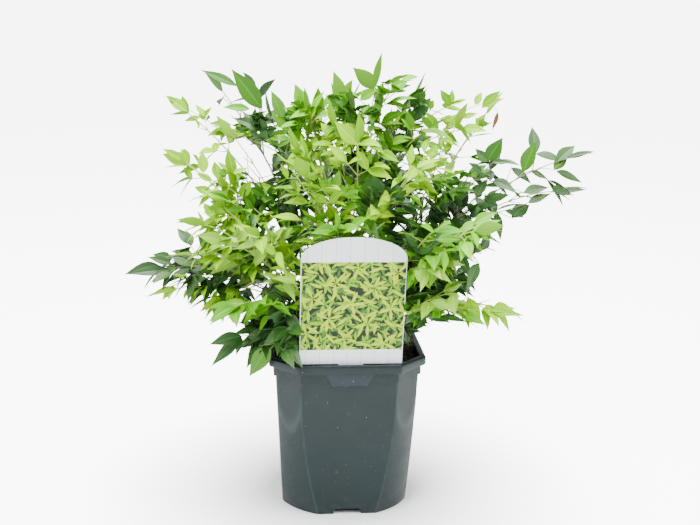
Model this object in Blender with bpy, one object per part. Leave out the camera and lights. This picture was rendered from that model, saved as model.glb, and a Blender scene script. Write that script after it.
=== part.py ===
"""Heavenly bamboo: a young clump of canes in a square-topped nursery pot, with its plant label.

Metres, +Z up. The origin is the centre of the pot's flat underside, and the label faces -Y.
Each spray is one solid: a stem that starts just clear of its cane, a few compound leaves
that branch from the stem, and leaflets fused on by their roots.
"""
import math
import random

import bmesh
import bpy
from mathutils import Matrix, Vector
from mathutils.bvhtree import BVHTree

GAP = 0.0003                 # clearance between neighbouring pieces
WELD = 0.00001               # points nearer than this are one
SOLVER = "MANIFOLD"          # quick and safe on many thin crossing blades

# Pot
POT_ACROSS = 0.170           # rim, across its main flats
POT_HEIGHT = 0.176
RIM_FACE = 0.108             # length of a main side of the rim; the corners are cut off
RIM_DEPTH = 0.0088           # height of the rolled lip
BAND_DEPTH = 0.0115          # height of the band under the lip
RIM_EDGE = 0.0007            # height of the sloping step between band and body
RIM_PROUD = 0.0050           # the lip stands out from the band
BAND_PROUD = 0.0025          # the band stands out from the body
BASE_RADIUS = 0.0763         # of the foot's rounded corners
BODY_SWELL = 1.5             # the rounded corners widen fastest near the foot
BODY_LEVELS = (0.05, 0.09, 0.12)   # heights where the wall and the soil have a ring of points
BODY_LEAN = 0.052            # the flat panels slope in by this much per metre of height
CORNER_LEAN = 0.022          # slope of the cut corners, seen only near the top
WALL = 0.0018
FLOOR = 0.0030
NOTCH_WIDTH = 0.0269         # top of the drainage notch in the foot of each main side
NOTCH_FLARE = 0.0022         # its sides slope out by this much each on the way down
NOTCH_HEIGHT = 0.0063
NOTCH_DEEP = 0.010
TAB_TOP = 0.0535             # tapering tab under the lip at the front
TAB_FOOT = 0.0375
TAB_DEPTH = 0.0150
TAB_PROUD = 0.0012

# Soil
SOIL_TOP = 0.166
SOIL_FLAT = 0.049            # the clump stands inside this radius
SOIL_EDGE = 0.020            # width of the rough border outside it
SOIL_ROUGH = 0.0014
SOIL_RINGS = (0.86, 0.72)    # rings of points between the pot's wall and the flat
LUMPS = ((0.066, 0.006, 0.020, 0.013), (-0.068, -0.004, 0.011, 0.011))   # x, y, height, width

# Label
CARD_WIDTH = 0.109
CARD_SIDE = 0.121            # straight sides, up to the flat arch
CARD_ARCH = 0.024
ARCH_STEPS = 16
CARD_THICK = 0.0008
CARD_LEAN = math.radians(10) # leans out over the rim
CARD_FOOT = Vector((0.001, -0.0772, POT_HEIGHT + 0.0008))
STAKE_WIDTH = 0.026
STAKE_LENGTH = 0.060
STAKE_POINT = 0.012          # length of its tapered end
LABEL_CLEAR = 0.003
LABEL_SEEN = 0.46            # share of the card's half-widths that nothing hangs before
LABEL_VIEW = 0.25            # how steeply the card is looked down on

# Canes: name, azimuth and radius of the foot, height, how far the tip leans out
CANE_RADIUS = 0.0033
CANE_TIP = 0.0019
CANE_KNEE = 0.55             # share of the height where a cane starts to lean
CANE_STEPS = 5
CANES = (
    ("left_front", -150, 0.036, 0.058, 0.009),
    ("left", 176, 0.042, 0.078, 0.012),
    ("left_back", 138, 0.038, 0.104, 0.010),
    ("back", 92, 0.036, 0.086, 0.010),
    ("right_back", 48, 0.038, 0.092, 0.010),
    ("right", 4, 0.042, 0.096, 0.012),
    ("right_front", -38, 0.038, 0.066, 0.009),
    ("front", -95, 0.028, 0.072, 0.002),
    ("middle", 60, 0.006, 0.124, 0.003),
)

# Sprays: name, cane, place up the cane, then its compound leaves, the first of which is the stem.
# A leaf: azimuth and elevation of its furthest tip seen from the crown's heart, reach in mm,
# leaflet length in mm, roll of its plane in degrees, colour
HEART = Vector((0, 0, 0.195))
SPRAYS = (
    ("low_left", "left_front", 0.25,
     ((-160, -8, 162, 40, 10, "dark"), (-145, 0, 142, 36, -15, "dark"))),
    ("front_low_left", "left_front", 0.45,
     ((-132, -5, 158, 38, -5, "dark"), (-126, 6, 140, 36, 20, "dark"))),
    ("front_left", "left_front", 0.68,
     ((-141, 14, 194, 34, 15, "bright"), (-117, 30, 168, 32, -20, "pale"))),
    ("left_pale", "left_front", 1.00,
     ((-148, 34, 226, 36, 35, "pale"), (-133, 40, 218, 36, -30, "pale"), (-160, 25, 226, 34, 0, "lime"))),
    ("far_left", "left", 0.55,
     ((180, 15, 250, 40, -10, "dark"), (-171, 11, 222, 32, 12, "lime"))),
    ("left_lime", "left", 1.00,
     ((178, 45, 282, 34, -30, "lime"), (-167, 34, 228, 36, 25, "bright"), (-160, 46, 230, 34, 0, "bright"))),
    ("low_back_left", "left_back", 0.40,
     ((148, 10, 236, 40, 10, "dark"), (128, 16, 232, 38, -15, "mid"), (138, 30, 240, 36, 0, "mid"))),
    ("upper_left_lime", "left_back", 0.85,
     ((161, 50, 326, 32, -20, "lime"), (168, 58, 275, 32, 15, "lime"))),
    ("upper_left_dark", "left_back", 1.00,
     ((138, 52, 350, 44, 30, "mid"), (131, 58, 328, 46, -35, "dark"), (137, 65, 284, 40, 0, "dark"))),
    ("low_back", "back", 0.40,
     ((103, 8, 236, 40, 0, "dark"), (82, 12, 240, 38, 15, "dark"), (93, 27, 250, 36, -10, "mid"))),
    ("back", "back", 1.00,
     ((110, 42, 292, 40, -15, "mid"), (86, 46, 284, 36, 20, "bright"), (100, 61, 274, 36, 0, "lime"))),
    ("low_back_right", "right_back", 0.40,
     ((58, 10, 236, 40, 10, "dark"), (38, 14, 236, 38, -15, "mid"), (48, 29, 244, 36, 0, "mid"))),
    ("back_right", "right_back", 1.00,
     ((63, 44, 290, 38, 15, "mid"), (38, 42, 284, 36, -20, "bright"), (52, 60, 276, 36, 5, "mid"))),
    ("low_right", "right", 0.35,
     ((14, 10, 196, 38, -10, "dark"), (24, 24, 232, 36, 15, "mid"))),
    ("far_right", "right", 0.80,
     ((-5, 37, 337, 42, 60, "dark"), (-16, 33, 310, 38, -20, "dark"), (2, 47, 286, 36, 30, "dark"))),
    ("upper_right_lime", "right", 1.00,
     ((8, 56, 316, 30, -20, "lime"), (-6, 63, 284, 30, 25, "lime"), (20, 52, 290, 34, 10, "bright"))),
    ("low_right_lime", "right_front", 0.48,
     ((-25, 10, 208, 34, 5, "lime"), (-37, 10, 176, 32, -15, "bright"))),
    ("right_droop", "right_front", 0.75,
     ((-8, 29, 204, 38, 20, "dark"), (-30, 23, 184, 38, -25, "dark"))),
    ("right_bright", "right_front", 1.00,
     ((-42, 36, 246, 38, 20, "bright"), (-55, 42, 222, 34, -20, "bright"), (-59, 29, 188, 32, 20, "pale"))),
    ("front_low_right", "right_front", 0.24,
     ((-54, 14, 166, 34, -15, "dark"), (-47, 22, 198, 34, 15, "pale"))),
    ("front", "front", 0.80,
     ((-100, 52, 196, 34, 10, "bright"), (-76, 50, 194, 32, -20, "mid"))),
    ("front_top_left", "front", 1.00,
     ((-121, 61, 240, 34, 10, "lime"), (-134, 68, 252, 32, -25, "lime"))),
    ("front_top_lime", "middle", 0.64,
     ((-54, 58, 254, 34, 15, "lime"), (-88, 70, 266, 40, -30, "lime"))),
    ("top_left", "middle", 0.70,
     ((126, 71, 280, 36, 20, "bright"), (150, 78, 268, 34, -10, "lime"))),
    ("top", "middle", 1.00,
     ((11, 83, 307, 40, 70, "bright"), (-120, 80, 262, 34, -40, "lime"))),
    ("top_right", "middle", 0.88,
     ((31, 69, 302, 40, -20, "mid"), (8, 70, 276, 38, 25, "dark"))),
)

# The rule that every spray follows
STEM_RADIUS = 0.0017
TWIG_RADIUS = 0.0012
TWIG_TIP = 0.0010
STEM_BENDS = (0, 0.20, 0.34, 0.50, 0.66, 0.83, 1)   # a stem's straight lengths, in shares
SIDE_BENDS = (0, 0.34, 0.66, 1)
TWIGGY = 3                   # the bend where the longest side twigs leave
FORKS = (0.55, 0.90)         # where the other leaves fork off, along the stem's first length
ARCH = 0.20                  # how high a level stalk arches, as a share of its span
KNEE = 0.45                  # where along the span its knee lies
SIDE_REACH = 0.15            # length of the longest side twigs, as a share of the span
LEAF_SCALE = 1.22            # larger than life, as there are fewer of them
LEAF_WIDE = 0.42             # width and thickness as shares of the length
LEAF_THICK = 0.05
LEAF_FOLD = 0.10
LEAF_BELLY = 0.40            # where a leaflet is widest
LEAF_DIP = 0.06              # its point hangs down by this share
LEAF_DROOP = 0.34            # how much leaflets on a level stalk hang
FACE_OUT = 0.8               # leaflets face up and, this much, out from the crown
SINK = 0.0018                # an end leaflet's root lies this far back inside its twig
PAIR_BACK = 0.0070           # the leaflets beside it leave the twig this far back
TRIES = ((0, 1), (0, 0.85), (16, 0.95), (-16, 0.95), (30, 0.85), (-30, 0.85), (0, 0.70))
ROOT_SHARE = 0.28            # beyond this share of its length, a piece touches nothing
SPACE_MARGIN = 0.0004        # each spray stops this far short of the middle to its neighbour
AXIS_STEPS = 3               # points on each length of a stalk that mark the spray's own space
CANE_CLEAR = 1.2             # sprays keep out of the canes' radius times this
TWIG_CLEAR = 1.5
RIM_CLEAR = 0.004            # and this far above and outside the rim

GREENS = {
    "dark": (0.035, 0.115, 0.045),
    "mid": (0.075, 0.230, 0.045),
    "bright": (0.160, 0.400, 0.035),
    "lime": (0.400, 0.620, 0.060),
    "pale": (0.330, 0.520, 0.170),
}


def material(name, colour, roughness):
    mat = bpy.data.materials.new(name)
    mat.use_nodes = True
    shader = mat.node_tree.nodes["Principled BSDF"]
    shader.inputs["Base Color"].default_value = (*colour, 1)
    shader.inputs["Roughness"].default_value = roughness
    return mat


def collection(name):
    group = bpy.data.collections.new(name)
    bpy.context.scene.collection.children.link(group)
    return group


def mesh_object(name, bm, group, mat=None, smooth=None):
    """Turn a bmesh into an object, with its faces pointing out."""
    bmesh.ops.recalc_face_normals(bm, faces=bm.faces[:])
    if bm.calc_volume(signed=True) < 0:
        bmesh.ops.reverse_faces(bm, faces=bm.faces[:])
    mesh = bpy.data.meshes.new(name)
    bm.to_mesh(mesh)
    bm.free()
    if smooth is not None:
        mesh.shade_smooth()
        mesh.set_sharp_from_angle(angle=math.radians(smooth))
    obj = bpy.data.objects.new(name, mesh)
    if mat:
        mesh.materials.append(mat)
    group.objects.link(obj)
    return obj


def loft(bm, rings):
    """Skin rings of equal count and close both ends. Every wall is split along the diagonal
    that rises with the turn, so a wall and what fills it stay parallel."""
    loops = [[bm.verts.new(point) for point in ring] for ring in rings]
    count = len(rings[0])
    for first, second in zip(loops, loops[1:]):
        low, high = (first, second) if first[0].co.z <= second[0].co.z else (second, first)
        for i in range(count):
            j = (i + 1) % count
            bm.faces.new((low[i], low[j], high[j]))
            bm.faces.new((low[i], high[j], high[i]))
    bm.faces.new(loops[0][::-1])
    bm.faces.new(loops[-1])


def boolean(obj, operation, cutter=None, group=None, solver="EXACT"):
    mod = obj.modifiers.new(operation.lower(), "BOOLEAN")
    mod.operation = operation
    mod.solver = solver
    if group:
        mod.operand_type = "COLLECTION"
        mod.collection = group
    else:
        mod.object = cutter
    return mod


def apply_modifiers(obj):
    """Replace the object's mesh by its evaluated one."""
    evaluated = obj.evaluated_get(bpy.context.evaluated_depsgraph_get())
    mesh = bpy.data.meshes.new_from_object(evaluated)
    obj.modifiers.clear()
    old = obj.data
    obj.data = mesh
    bpy.data.meshes.remove(old)


def hide_cutter(obj):
    obj.hide_render = True
    obj.display_type = "WIRE"


# The pot and what it holds

def ring_angles(edge):
    """Where a ring has its points, for main sides that end at the angle edge from their middle."""
    half = (edge + math.pi / 4) / 2
    steps = (-edge, 0, edge, half, math.pi / 4, math.pi / 2 - half)
    return [side * math.pi / 2 + step for side in range(4) for step in steps]


def pot_radius(angle, flat, corner, cone):
    """Distance out to the pot's wall: flat sides and flat corners cut into a cone."""
    off = (angle + math.pi / 4) % (math.pi / 2) - math.pi / 4
    return min(cone, flat / math.cos(off), corner / math.cos(math.pi / 4 - abs(off)))


def pot_ring(z, proud):
    """One level of the pot's outside, proud of the body's own slope."""
    body_top = POT_HEIGHT - RIM_DEPTH - BAND_DEPTH
    drop = max(0, body_top - z)
    cut = (POT_ACROSS + RIM_FACE) / 2 / math.sqrt(2)
    shrink = RIM_PROUD + BAND_PROUD - proud
    flat = POT_ACROSS / 2 - shrink - BODY_LEAN * drop
    corner = cut - shrink - CORNER_LEAN * drop
    tip = math.hypot(POT_ACROSS / 2, RIM_FACE / 2) - shrink
    cone = BASE_RADIUS + (tip - BASE_RADIUS) * (1 - (drop / body_top) ** BODY_SWELL)
    edge = min(math.acos(flat / cone), math.atan2(corner * math.sqrt(2) - flat, flat))
    ring = []
    for angle in ring_angles(edge):
        radius = pot_radius(angle, flat, corner, cone)
        ring.append(Vector((radius * math.cos(angle), radius * math.sin(angle), z)))
    return ring


def inset(ring, distance, z=None):
    """Move a ring straight in towards the pot's axis."""
    moved = []
    for point in ring:
        flat = Vector((point.x, point.y, 0))
        step = flat.normalized() * distance
        moved.append(Vector((point.x - step.x, point.y - step.y, point.z if z is None else z)))
    return moved


def make_pot(part, cutters, mat):
    lip = POT_HEIGHT - RIM_DEPTH
    body_top = lip - BAND_DEPTH
    proud = RIM_PROUD + BAND_PROUD
    outside = [pot_ring(z, 0) for z in (0, *BODY_LEVELS, body_top)]
    outside += [pot_ring(body_top + RIM_EDGE, BAND_PROUD), pot_ring(lip - RIM_EDGE, BAND_PROUD)]
    outside += [pot_ring(lip, proud), pot_ring(POT_HEIGHT, proud)]
    top = pot_ring(POT_HEIGHT, BAND_PROUD)
    inside = [inset(top, WALL), inset(top, WALL, body_top + RIM_EDGE)]
    inside += [inset(pot_ring(z, 0), WALL) for z in (body_top, *reversed(BODY_LEVELS), FLOOR)]
    bm = bmesh.new()
    loft(bm, outside + inside)
    pot = mesh_object("pot", bm, part, mat, smooth=25)
    bm = bmesh.new()
    bmesh.ops.create_cube(bm, size=1)
    face = POT_ACROSS / 2 - RIM_PROUD
    for vert in bm.verts:
        high = vert.co.z > 0
        back = face - WALL / 2 if high else face - BAND_PROUD - WALL / 4
        vert.co = Vector((math.copysign(TAB_TOP / 2 if high else TAB_FOOT / 2, vert.co.x),
                          -face - TAB_PROUD if vert.co.y < 0 else -back,
                          lip + RIM_EDGE - (0 if high else TAB_DEPTH)))
    tab = mesh_object("tab", bm, cutters)
    boolean(pot, "UNION", tab)
    apply_modifiers(pot)
    bpy.data.objects.remove(tab)
    for side in range(4):
        bm = bmesh.new()
        bmesh.ops.create_cube(bm, size=1)
        bmesh.ops.scale(bm, verts=bm.verts, vec=(2 * NOTCH_DEEP, NOTCH_WIDTH, 2 * NOTCH_HEIGHT))
        for vert in bm.verts:
            if vert.co.z < 0:
                vert.co.y += math.copysign(2 * NOTCH_FLARE, vert.co.y)
        foot = POT_ACROSS / 2 - RIM_PROUD - BAND_PROUD - BODY_LEAN * body_top
        bmesh.ops.translate(bm, verts=bm.verts, vec=(foot, 0, 0))
        bmesh.ops.rotate(bm, verts=bm.verts, matrix=Matrix.Rotation(side * math.pi / 2, 3, "Z"))
        notch = mesh_object(f"notch_{side}", bm, cutters)
        hide_cutter(notch)
        boolean(pot, "DIFFERENCE", notch)
    return pot


def soil_height(x, y):
    """The surface of the root ball: level round the clump, rough at the edge, two raised lumps."""
    out = min(1, max(0, math.hypot(x, y) - SOIL_FLAT) / SOIL_EDGE)
    rough = SOIL_ROUGH * math.sin(190 * x + 1.3) * math.cos(170 * y - 0.4)
    lump = sum(high * math.exp(-((x - cx) ** 2 + (y - cy) ** 2) / (2 * wide ** 2))
               for cx, cy, high, wide in LUMPS)
    return SOIL_TOP + (rough + lump) * out


def make_soil(part, cutters, mat):
    body_top = POT_HEIGHT - RIM_DEPTH - BAND_DEPTH
    clear = WALL + GAP
    rings = [inset(pot_ring(z, 0), clear) for z in (FLOOR + GAP, *BODY_LEVELS)]
    wall_top = inset(pot_ring(POT_HEIGHT, BAND_PROUD), clear)
    rings.append([Vector((p.x, p.y, body_top)) for p in inset(pot_ring(body_top, 0), clear)])
    rings.append([Vector((p.x, p.y, soil_height(p.x, p.y))) for p in wall_top])
    for share in SOIL_RINGS:
        rings.append([Vector((p.x * share, p.y * share, soil_height(p.x * share, p.y * share)))
                      for p in wall_top])
    flat = [Vector((p.x, p.y, 0)).normalized() * SOIL_FLAT for p in wall_top]
    rings.append([Vector((p.x, p.y, SOIL_TOP)) for p in flat])
    bm = bmesh.new()
    loft(bm, rings)
    soil = mesh_object("soil", bm, part, mat, smooth=40)
    bm = bmesh.new()
    bmesh.ops.create_cube(bm, size=1)
    size = (STAKE_WIDTH + 2 * GAP, CARD_THICK + 2 * GAP, 2 * (STAKE_LENGTH + GAP))
    bmesh.ops.scale(bm, verts=bm.verts, vec=size)
    slot = mesh_object("stake_slot", bm, cutters)
    slot.matrix_world = card_place()
    hide_cutter(slot)
    boolean(soil, "DIFFERENCE", slot)
    return soil


def card_place():
    """The card's own frame: x across, z up its leaning face, origin at its lower edge."""
    return Matrix.Translation(CARD_FOOT) @ Matrix.Rotation(CARD_LEAN, 4, "X")


def card_outline():
    """Stake, square lower corners, straight sides and a flat arch."""
    half = CARD_WIDTH / 2
    stake = STAKE_WIDTH / 2
    shoulder = STAKE_POINT - STAKE_LENGTH
    points = [(-half, 0), (-stake, 0), (-stake, shoulder), (0, -STAKE_LENGTH)]
    points += [(stake, shoulder), (stake, 0), (half, 0)]
    for i in range(ARCH_STEPS + 1):
        turn = math.pi * i / ARCH_STEPS
        points.append((half * math.cos(turn), CARD_SIDE + CARD_ARCH * math.sin(turn)))
    return points


def make_label(part, mat):
    curve = bpy.data.curves.new("label_outline", "CURVE")
    curve.dimensions = "2D"
    curve.fill_mode = "BOTH"
    curve.extrude = CARD_THICK / 2
    outline = card_outline()
    spline = curve.splines.new("POLY")
    spline.points.add(len(outline) - 1)
    for point, (x, z) in zip(spline.points, outline):
        point.co = (x, z, 0, 1)
    spline.use_cyclic_u = True
    flat = bpy.data.objects.new("label_outline", curve)
    part.objects.link(flat)
    flat.matrix_world = card_place() @ Matrix.Rotation(math.pi / 2, 4, "X")
    return curve_to_mesh(flat, "label", part, mat)


def curve_to_mesh(obj, name, group, mat=None, smooth=None):
    """Weld a curve object's caps, put its place into its mesh and drop the curve."""
    bpy.context.view_layer.update()
    place = obj.matrix_world.copy()
    evaluated = obj.evaluated_get(bpy.context.evaluated_depsgraph_get())
    mesh = bpy.data.meshes.new_from_object(evaluated)
    bm = bmesh.new()
    bm.from_mesh(mesh)
    bmesh.ops.remove_doubles(bm, verts=bm.verts[:], dist=WELD)
    bmesh.ops.transform(bm, verts=bm.verts[:], matrix=place)
    bpy.data.meshes.remove(mesh)
    curve = obj.data
    bpy.data.objects.remove(obj)
    bpy.data.curves.remove(curve)
    return mesh_object(name, bm, group, mat, smooth)


# Canes

def bend(start, knee, end, t):
    """A point on the smooth curve that leaves start towards knee and arrives at end."""
    return start.lerp(knee, t).lerp(knee.lerp(end, t), t)


def polar(azimuth, radius):
    turn = math.radians(azimuth)
    return Vector((radius * math.cos(turn), radius * math.sin(turn), 0))


class Cane:
    """One upright stem: a curve that starts straight up and leans out."""

    def __init__(self, azimuth, radius, height, lean):
        self.foot = polar(azimuth, radius) + Vector((0, 0, SOIL_TOP + GAP))
        self.knee = self.foot + Vector((0, 0, CANE_KNEE * height))
        self.tip = self.foot + polar(azimuth, lean) + Vector((0, 0, height))

    def at(self, t):
        return bend(self.foot, self.knee, self.tip, t)

    def radius(self, t):
        return CANE_RADIUS + (CANE_TIP - CANE_RADIUS) * t


def tube(name, points, radii, group, mat=None, profile=None):
    """A tapering tube along points, three-sided where a profile is given."""
    curve = bpy.data.curves.new(name, "CURVE")
    curve.dimensions = "3D"
    curve.use_fill_caps = True
    if profile:
        curve.bevel_mode = "OBJECT"
        curve.bevel_object = profile
    else:
        curve.bevel_depth = 1.0
        curve.bevel_resolution = 1
    spline = curve.splines.new("POLY")
    spline.points.add(len(points) - 1)
    for point, place, radius in zip(spline.points, points, radii):
        point.co = (*place, 1)
        point.radius = radius
    obj = bpy.data.objects.new(name, curve)
    group.objects.link(obj)
    return curve_to_mesh(obj, name, group, mat, None if profile else 50)


def make_canes(part, mat):
    canes = {}
    shares = [i / CANE_STEPS for i in range(CANE_STEPS + 1)]
    for name, azimuth, radius, height, lean in CANES:
        cane = Cane(azimuth, radius, height, lean)
        canes[name] = cane
        tube(f"cane_{name}", [cane.at(t) for t in shares], [cane.radius(t) for t in shares], part, mat)
    return canes


# Sprays

def leaf_tip(leaf):
    """The furthest tip of one of a spray's compound leaves."""
    azimuth, elevation, reach = leaf[:3]
    rise = math.radians(elevation)
    return HEART + (polar(azimuth, math.cos(rise)) + Vector((0, 0, math.sin(rise)))) * reach / 1000


def arched(start, tip):
    """The knee of a stalk: it arches the more, the more level it runs."""
    level = math.hypot(tip.x - start.x, tip.y - start.y)
    return start.lerp(tip, KNEE) + Vector((0, 0, ARCH * level))


class Frond:
    """A compound leaf: a bent stalk, opposite side twigs and pointed leaflets."""

    def __init__(self, key, start, leaf, bends):
        leaflet, roll, self.tint = leaf[3:]
        draw = random.Random(key)
        tip = leaf_tip(leaf)
        span = (tip - start).length
        self.leaflet = leaflet / 1000 * LEAF_SCALE
        self.knee = arched(start, tip)
        self.end = tip - self.leaflet * (tip - self.knee).normalized()
        self.stalk = [bend(start, self.knee, self.end, t) for t in bends]
        heading = (self.stalk[-1] - self.stalk[-2]).normalized()
        across = heading.cross(Vector((0, 0, 1))).normalized()
        self.across = Matrix.Rotation(math.radians(roll), 3, heading) @ across
        self.droop = LEAF_DROOP * (1 - max(0, heading.z))
        self.face = Vector((heading.x, heading.y, 0)) * FACE_OUT + Vector((0, 0, 1))
        self.twigs = []
        self.leaves = []
        self.trio(-1, self.end, heading, self.leaflet, draw)
        for at in range(2, len(bends) - 1):
            self.side_pair(at, at == TWIGGY, SIDE_REACH * span, draw)

    def trio(self, holder, end, heading, length, draw):
        """An end leaflet and the two opposite ones beside it."""
        self.leaf(holder, end - heading * SINK, heading, length, draw)
        for side in (-1, 1):
            turn = math.radians(draw.uniform(42, 58))
            axis = heading * math.cos(turn) + self.across * side * math.sin(turn)
            axis.z -= self.droop * draw.uniform(0.4, 1.6)
            self.leaf(holder, end - heading * PAIR_BACK, axis, length * draw.uniform(0.80, 0.98), draw)

    def leaf(self, holder, root, axis, length, draw):
        """One leaflet, turned to face up and out of the crown."""
        axis = axis.normalized()
        face = self.face + Vector([draw.uniform(-0.55, 0.55) for _ in range(3)])
        normal = face - axis * face.dot(axis)
        self.leaves.append((holder, root, axis, normal.normalized(), length))

    def side_pair(self, at, twiggy, reach, draw):
        """Two opposite leaflets at a bend of the stalk, or opposite twigs with three each."""
        root = self.stalk[at]
        heading = (self.stalk[at + 1] - root).normalized()
        for side in (-1, 1):
            turn = math.radians(draw.uniform(46, 62))
            axis = heading * math.cos(turn) + self.across * side * math.sin(turn)
            axis.z += draw.uniform(-0.20, 0.14)
            axis.normalize()
            size = self.leaflet * draw.uniform(0.84, 1.04)
            if twiggy:
                tip = root + axis * reach * draw.uniform(0.85, 1.1)
                self.twigs.append((root, tip))
                self.trio(len(self.twigs) - 1, tip, axis, size, draw)
            else:
                axis.z -= self.droop * draw.uniform(0.2, 1.0)
                self.leaf(-1, root, axis, size * 1.1, draw)


def wedge(bm, start, end, radius_a, radius_b):
    """A three-sided tapering twig between two points."""
    axis = end - start
    place = Matrix.Translation((start + end) / 2) @ axis.to_track_quat("Z", "Y").to_matrix().to_4x4()
    bmesh.ops.create_cone(bm, cap_ends=True, segments=3, radius1=radius_a, radius2=radius_b,
                          depth=axis.length, matrix=place)


def blade(bm, root, axis, normal, length, grow=0.0):
    """A leaflet of eight faces: pointed ends, folded up along its midrib."""
    found = bmesh.ops.create_uvsphere(bm, u_segments=4, v_segments=2, radius=1)
    side = axis.cross(normal).normalized()
    half = LEAF_WIDE * length / 2 + grow
    thick = LEAF_THICK * length / 2 + grow
    belly = root + axis * (LEAF_BELLY * length)
    for vert in found["verts"]:
        x, y, z = vert.co
        if z < -0.5:
            vert.co = root - axis * grow
        elif z > 0.5:
            vert.co = root + axis * (length + grow) - Vector((0, 0, LEAF_DIP * length))
        elif abs(x) > 0.5:
            vert.co = belly + side * math.copysign(half, x) + normal * (LEAF_FOLD * length / 2)
        else:
            vert.co = belly + normal * math.copysign(thick, y)


def far_enough(points, own, axes):
    """Whether every point is nearer to its own spray's stem than to any other spray's."""
    for point in points:
        mine = min((point - place).length for place in axes[own])
        for name, places in axes.items():
            if name == own:
                continue
            if min((point - place).length for place in places) < mine + SPACE_MARGIN:
                return False
    return True


def card_block(bm):
    """A thick stand-in for the card, which keeps twigs from passing through it."""
    bmesh.ops.create_cube(bm, size=1)
    tall = CARD_SIDE + CARD_ARCH + LABEL_CLEAR
    bmesh.ops.scale(bm, verts=bm.verts, vec=(CARD_WIDTH + LABEL_CLEAR, 4 * CARD_THICK, tall))
    bmesh.ops.translate(bm, verts=bm.verts, vec=(0, 0, tall / 2))
    bmesh.ops.transform(bm, verts=bm.verts, matrix=card_place())


def blocked(points):
    """Whether something would enter the pot or soil, touch the card or hang before it."""
    for point in points:
        wide = max(abs(point.x), abs(point.y))
        if point.z < POT_HEIGHT + RIM_CLEAR and wide < POT_ACROSS / 2 + RIM_CLEAR:
            return True
        across, behind, up = card_place().inverted() @ point
        beside = abs(across) >= CARD_WIDTH / 2 + LABEL_CLEAR
        above = up >= CARD_SIDE + CARD_ARCH + LABEL_CLEAR
        if abs(behind) < LABEL_CLEAR and not (beside or above):
            return True
        before = behind < 0 and abs(across) < LABEL_SEEN * CARD_WIDTH
        if before and up + behind * LABEL_VIEW < CARD_SIDE + CARD_ARCH:
            return True
    return False


def stem_start(cane, place, leaf):
    """Just clear of the cane's tip, or of its side that faces the spray's furthest tip."""
    base = cane.at(place)
    heading = (arched(base, leaf_tip(leaf)) - base).normalized()
    if place >= 1:
        out = (cane.tip - cane.knee).normalized()
        return base + out * (GAP + STEM_RADIUS * heading.cross(out).length)
    out = polar(leaf[0], 1)
    return base + out * (cane.radius(place) + GAP + STEM_RADIUS * abs(heading.z))


def spray_fronds(name, start, leaves):
    """The stem's own leaf and the ones that fork off its first length."""
    fronds = [Frond(f"{name}_0", start, leaves[0], STEM_BENDS)]
    first, second = fronds[0].stalk[:2]
    for index, (leaf, fork) in enumerate(zip(leaves[1:], FORKS), 1):
        fronds.append(Frond(f"{name}_{index}", first.lerp(second, fork), leaf, SIDE_BENDS))
    return fronds


def build_tree(builder, *args, **sizes):
    bm = bmesh.new()
    builder(bm, *args, **sizes)
    tree = BVHTree.FromBMesh(bm)
    corners = [vert.co.copy() for vert in bm.verts]
    bm.free()
    return tree, corners


def make_sprays(part, canes, mats):
    """Stems first, then side leaves, twigs and leaflets, each only where its place is free."""
    plans = {}
    for name, cane, place, leaves in SPRAYS:
        plans[name] = spray_fronds(name, stem_start(canes[cane], place, leaves[0]), leaves)
    axes = {name: [a.lerp(b, step / AXIS_STEPS) for frond in fronds
                   for a, b in zip(frond.stalk, frond.stalk[1:]) for step in range(AXIS_STEPS)]
            for name, fronds in plans.items()}
    taken = {name: [] for name in plans}
    shares = [i / CANE_STEPS for i in range(CANE_STEPS + 1)]
    limbs = [build_tree(card_block)[0]]
    for cane in canes.values():
        for low, high in zip(shares, shares[1:]):
            limbs.append(build_tree(wedge, cane.at(low), cane.at(high),
                                    CANE_CLEAR * cane.radius(low), CANE_CLEAR * cane.radius(high))[0])

    def free(tree, own, outer=None):
        """Whether a piece touches no other spray or limb, and its outer part nothing at all."""
        others = [t for name, trees in taken.items() if name != own for t in trees]
        if any(tree.overlap(other) for other in others + limbs):
            return False
        return outer is None or not any(outer.overlap(mine) for mine in taken[own])

    solids = {name: [] for name in plans}
    for rank in range(1 + len(FORKS)):
        for name, fronds in plans.items():
            if rank < len(fronds):
                grow_stalk(name, fronds[rank], rank, taken, solids, free)
    for rank in range(1 + len(FORKS)):
        for name, fronds in plans.items():
            if rank < len(fronds) and fronds[rank].kept:
                grow_frond(name, fronds[rank], axes, taken, solids, free)
    for name, fronds in plans.items():
        fuse(name, solids[name], part, mats[fronds[0].tint])
    return plans, solids


def grow_stalk(name, frond, rank, taken, solids, free):
    """A stem is always kept, and a forked stalk only where its way is free."""
    thick = TWIG_RADIUS if rank else STEM_RADIUS
    count = len(frond.stalk)
    radii = [thick + (TWIG_TIP - thick) * i / (count - 1) for i in range(count)]
    trees = [build_tree(wedge, a, b, thick + GAP, thick + GAP)[0]
             for a, b in zip(frond.stalk, frond.stalk[1:])]
    frond.kept = rank == 0 or (not blocked(frond.stalk[1:]) and all(free(tree, name) for tree in trees))
    if frond.kept:
        solids[name].append(("tube", frond.stalk, radii))
        taken[name] += trees


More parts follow.
